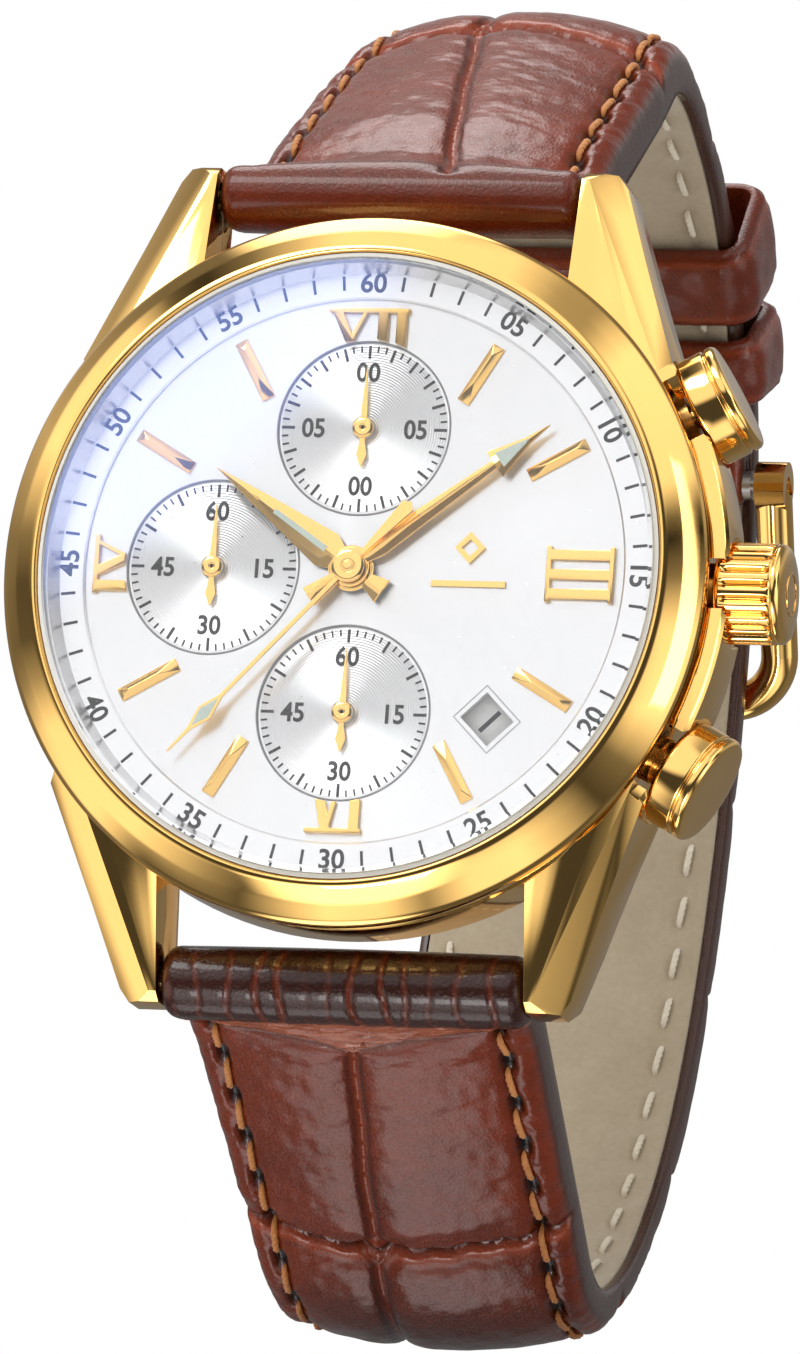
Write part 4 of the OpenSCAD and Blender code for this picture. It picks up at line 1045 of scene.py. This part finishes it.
def make_leather(strap, cutters):
    """One skin that starts under the lug's bar, wraps it, runs along the face and wraps the far end."""
    start = -strap.head_wrap - 2.4
    end = strap.length + (0 if strap.tail else strap.tail_wrap + 2.2)
    places = np.linspace(start, end, math.ceil((end - start) / 0.2) + 1)
    share = np.linspace(-1, 1, 105)[1:-1]
    rows, marks = [], {"crease": [], "roll": [], "fold": [], "hole": [], "edge": []}
    for q, frame in zip(places, zip(*strap.frame_at(places))):
        half = float(strap.half_width(q))
        left = [e - half for e in EDGE_STEPS]
        u = np.array([*left, *(share * (half - EDGE_ROUND)), *(-x for x in reversed(left))])
        height, shown = strap.relief(q, u, half)
        punched = strap.holes(q, u, half - SEAM_IN)
        reach = frame[4] + (height - 0.42 * punched)
        if strap.tail:
            reach = reach - 0.5 * (1 - math.sqrt(max(0, 1 - max(0, (q - strap.length + 0.5) / 0.5) ** 2)))
        floor_in, floor_low = leather_floor(strap, q, frame[4])
        top = float(reach[0])
        low, inn = min(floor_low, top - 0.1), min(floor_in, top - 0.05)
        wall = [(half + 0.03, low + (top - low) * 0.66), (half + 0.02, low + (top - low) * 0.33),
                (half - 0.06, low + 0.10), (half - 0.22, low), (half - 0.52, low)]
        inside = [((half - 0.56) * (1 - k / 4), inn) for k in range(9)]
        under = wall + inside + [(-a, b) for a, b in reversed(wall)]
        rows.append(section(frame, [*zip(u, reach), *under]))
        # The stitch holes are darkened near black with painted shade, together with the crease cuts
        shown["hole"] = np.maximum(punched, shown["hole"])
        shown["edge"] = 1 - ease(half - np.abs(u), 0.0, 0.3)
        for name, values in marks.items():
            values += [*(shown[name] + 0 * u), *([float(name == "edge")] * len(under))]
    mesh = new_mesh(strap.name, *loft(rows))
    mark(mesh, marks)
    mesh = cut(mesh, cutters)
    skin = dress(strap.name + "_leather", mesh, "leather_brown", sharp=60, replaces=(strap.name,))


def make_lining(strap, cutters):
    """A nubuck strip let into the leather's back, with soft edges and a dent at every stitch hole."""
    start, end = 2.6, strap.length - (0.3 if strap.tail else 2.9)
    places = np.linspace(start, end, math.ceil((end - start) / 0.3) + 1)
    rows = []
    for q, frame in zip(places, zip(*strap.frame_at(places))):
        half = float(strap.half_width(q)) - 0.60
        low, top = -frame[4], LINING_T - frame[4]
        u = np.linspace(-half + 0.25, half - 0.25, 60)
        dents = 0.12 * strap.holes(q, u, half + 0.60 - LINING_SEAM_IN) + 0.02 * ripple(q, u, 3.0, 41)
        dents = dents + 0.04 * dip(np.abs(u) - half + 1.5, 0.35)
        loop = [*zip(u, low + dents), (half - 0.07, low + 0.07), (half, low + 0.24)]
        loop += [(half * (1 - k / 3), top) for k in range(7)]
        loop += [(-half, low + 0.24), (-half + 0.07, low + 0.07)]
        rows.append(section(frame, loop))
    mesh = cut(new_mesh(strap.name + "_nubuck", *loft(rows)), cutters)
    dress(strap.name + "_nubuck", mesh, "lining_suede", sharp=50, replaces=(strap.name + "_lining",))


def cut(mesh, cutters):
    """The mesh with each cutter's (points, faces) taken out of it."""
    batch = Batch()
    for form in cutters:
        batch.add(*form)
    tool = bpy.data.objects.new("cutter", reworked(new_mesh("cutter", *batch.form), outward))
    scene.collection.objects.link(tool)
    shown = modified(reworked(mesh, outward), "BOOLEAN", object=tool, operation="DIFFERENCE", solver="EXACT")
    bpy.data.objects.remove(tool)
    return shown


def cutter(strap, s, outline):
    """A prism through the strap at s. outline is its (across, along) points."""
    y, z, dy, dz, _ = (float(v) for v in strap.frame_at(s))
    return loft([[(a * MM, (y + dy * reach + dz * b) * MM, (z + dz * reach - dy * b) * MM) for a, b in outline]
                 for reach in (-4, 4)])


def slotted(radius, reach_on=0):
    """The outline of a round hole, drawn out along the strap by reach_on both ways."""
    turns = [2 * math.pi * (k + 0.5) / 24 for k in range(24)]
    return [(radius * cos(a), radius * sin(a) + math.copysign(reach_on, sin(a))) for a in turns]


def stitch(strap, q0, half_length, seam_in, side_way, radius, under):
    """One three-ply stitch whose ends dive into their holes."""
    sides, rings = 18, 29
    t = np.linspace(-1, 1, rings)
    q = q0 + t * half_length
    half = strap.half_width(q)
    u = side_way * (half - seam_in + 0.10 * t)
    y, z, dy, dz, half_t = strap.frame_at(q)
    if under:
        reach = half_t + (-2 * half_t - (0.16 - 0.42 * np.abs(t) ** 5))
    else:
        reach = half_t + (strap.relief(q, u, half)[0] + (0.20 - 0.52 * np.abs(t) ** 5))
    middle = np.stack([u, y + dy * reach, z + dz * reach], -1) * MM
    ahead = np.gradient(middle, axis=0)
    ahead /= np.linalg.norm(ahead, axis=1)[:, None]
    flat = np.tile(np.array([1.0, 0, 0]), (rings, 1))
    flat -= (flat * ahead).sum(1)[:, None] * ahead
    flat /= np.linalg.norm(flat, axis=1)[:, None]
    up = np.cross(ahead, flat)
    rows = []
    for i in range(rings):
        taper = math.sqrt(max(0.12, 1 - abs(t[i]) ** 6))
        row = []
        for k in range(sides):
            a = 2 * math.pi * k / sides
            ply = 1.04 - 0.24 * abs(cos(1.5 * (a - 5.6 * t[i]))) ** 5
            out = cos(a) * flat[i] + 0.9 * sin(a) * up[i]
            row.append(tuple(middle[i] + radius * ply * taper * MM * out))
        rows.append(row)
    return loft(rows)


def make_stitches(strap):
    """Tan twisted thread on the face, cream thread on the lining."""
    for label, finish, size in (("_stitches", "tan_thread", (1.2, SEAM_IN, 0.205, False)),
                                ("_lining_stitches", "cream_thread", (1.1, LINING_SEAM_IN, 0.2, True))):
        half_length, seam_in, radius, under = size
        batch = Batch()
        for side_way in (-1, 1):
            for place in strap.stitches:
                batch.add(*stitch(strap, place, half_length, seam_in, side_way, radius, under))
        piece(strap.name + label, batch.form, finish, where=Matrix(), sharp=80)


def make_keeper(name, at, arc, body, node):
    """A leather loop round both straps: a rounded rectangle bent to their curve, plump across its width."""
    inner_r, outer_r = WRAP_R - SHORT_T / 2 - 0.3, LONG_R + LONG_T / 2 + 0.3
    thick, half_wide, corner = 1.2, TAIL_HALF_WIDTH + 0.4, 0.9
    mid_r, half_high = (inner_r + outer_r) / 2, (outer_r - inner_r) / 2
    # The loop's middle line: corners in eighths of a quarter turn, with straight runs divided between them
    corners = []
    for k, (sx, sy) in enumerate(((1, 1), (-1, 1), (-1, -1), (1, -1))):
        for i in range(9):
            a = radians(90 * k + 90 * i / 8)
            corners.append((sx * (half_wide - corner) + corner * cos(a),
                            sy * (half_high - corner) + corner * sin(a), cos(a), sin(a)))
    loop = []
    for here, there in zip(corners, corners[1:] + corners[:1]):
        extra = max(1, int(math.hypot(there[0] - here[0], there[1] - here[1]) / 0.6))
        loop += [tuple(a + (b - a) * i / extra for a, b in zip(here, there)) for i in range(extra)]
    half_arc = radians(arc / 2)
    across = [-1 + i / 8 for i in range(17)]
    outside = [(t, 0.42 + (thick - 0.42) * math.sqrt(max(0, 1 - abs(t) ** 3.2))) for t in across]
    rows, crease = [], []
    for u, n, nu, nn in loop:
        row = []
        for t, lift in outside + [(0.97, 0.06), (0.6, 0.0), (0, 0.0), (-0.6, 0.0), (-0.97, 0.06)]:
            uneven = 0.03 * ripple(t * half_arc * outer_r, u + n, 2.2, 51) if lift > 0.1 else 0
            groove = 0.10 * dip(abs(t) - 0.72, 0.05) if lift > 0.3 else 0
            out = lift + uneven - groove
            a = radians(at) + t * half_arc
            r = mid_r + n + nn * out
            row.append(((u + nu * out) * MM, (WRAP_C[0] + r * sin(a)) * MM, (WRAP_C[1] + r * cos(a)) * MM))
            crease.append(0.5 * dip(abs(t) - 0.72, 0.06) if lift > 0.3 else 0.0)
        rows.append(row)
    mesh = new_mesh(name, *loft(rows, ring=True))
    none = [0.0] * len(crease)
    mark(mesh, {"crease": crease, "roll": [0.35] * len(crease), "hole": none, "fold": none, "edge": none})
    dress(name, mesh, "leather_brown", body, sharp=60, replaces=(node,))


def make_strap():
    upper = Strap("strap_upper", SHORT_PATH, outer=1, swell=1.5, crown=2.0, roll=0.0, tail=False,
                  knots=[(0, LUG_T / 2), (6, 1.975), (26.6, 1.88), (34.6, 1.565), (38.5, SHORT_T / 2)],
                  widths=[(-0.9, 10.85), (1.5, 10.6), (17, 10.2), (28, 9.45), (34, TAIL_HALF_WIDTH)],
                  creases=[(24.0, 2.6), (42.5, 1.6), (56.0, 1.0)],
                  centre=[(-2.3, 2.9), (18, -0.4), (28, -1.9), (45, -1.2), (70, -0.6)])
    lower = Strap("strap_lower", LONG_PATH, outer=-1, swell=0.7, crown=1.5, roll=1.0, tail=True,
                  knots=[(0, LUG_T / 2), (6, 2.015), (26, 1.945), (35, 1.61), (52, LONG_T / 2)],
                  widths=[(-0.9, 10.85), (0.3, 10.4), (17, 9.95), (32, 9.5), (40, TAIL_HALF_WIDTH)],
                  creases=[(20.9, 1.3), (38.5, 1.2), (54.0, 1.0), (68.0, 0.8), (81.0, 0.8)],
                  centre=[(4.2, -0.2), (16, -1.4), (22, -1.8), (38, -2.6), (60, -1.5), (117, 0)])
    tongue_slot = cutter(upper, upper.length, [(-1.4, -3.5), (1.4, -3.5), (1.4, 2.1), (-1.4, 2.1)])
    buckled = lower.length - LONG_R * radians(PIVOT_AT + 4.5 - TAIL_AT)
    holes = [cutter(lower, buckled + 0.25, slotted(1.3, 1.5))]
    holes += [cutter(lower, buckled - 6.5 * i, slotted(1.0)) for i in (1, 2, 3)]
    for strap, cutters in ((upper, [tongue_slot]), (lower, holes)):
        make_leather(strap, cutters)
        make_lining(strap, cutters)
        make_stitches(strap)
    make_keeper("keeper_fixed_loop", 60.5, 10, "case", "fixed_keeper")
    make_keeper("keeper_free_loop", 46.8, 12.4, "free_keeper", "free_keeper")


make_camera()
make_world()
make_lights()
paint_cad_nodes()
make_case()
make_dial()
make_strap()
make_floor()
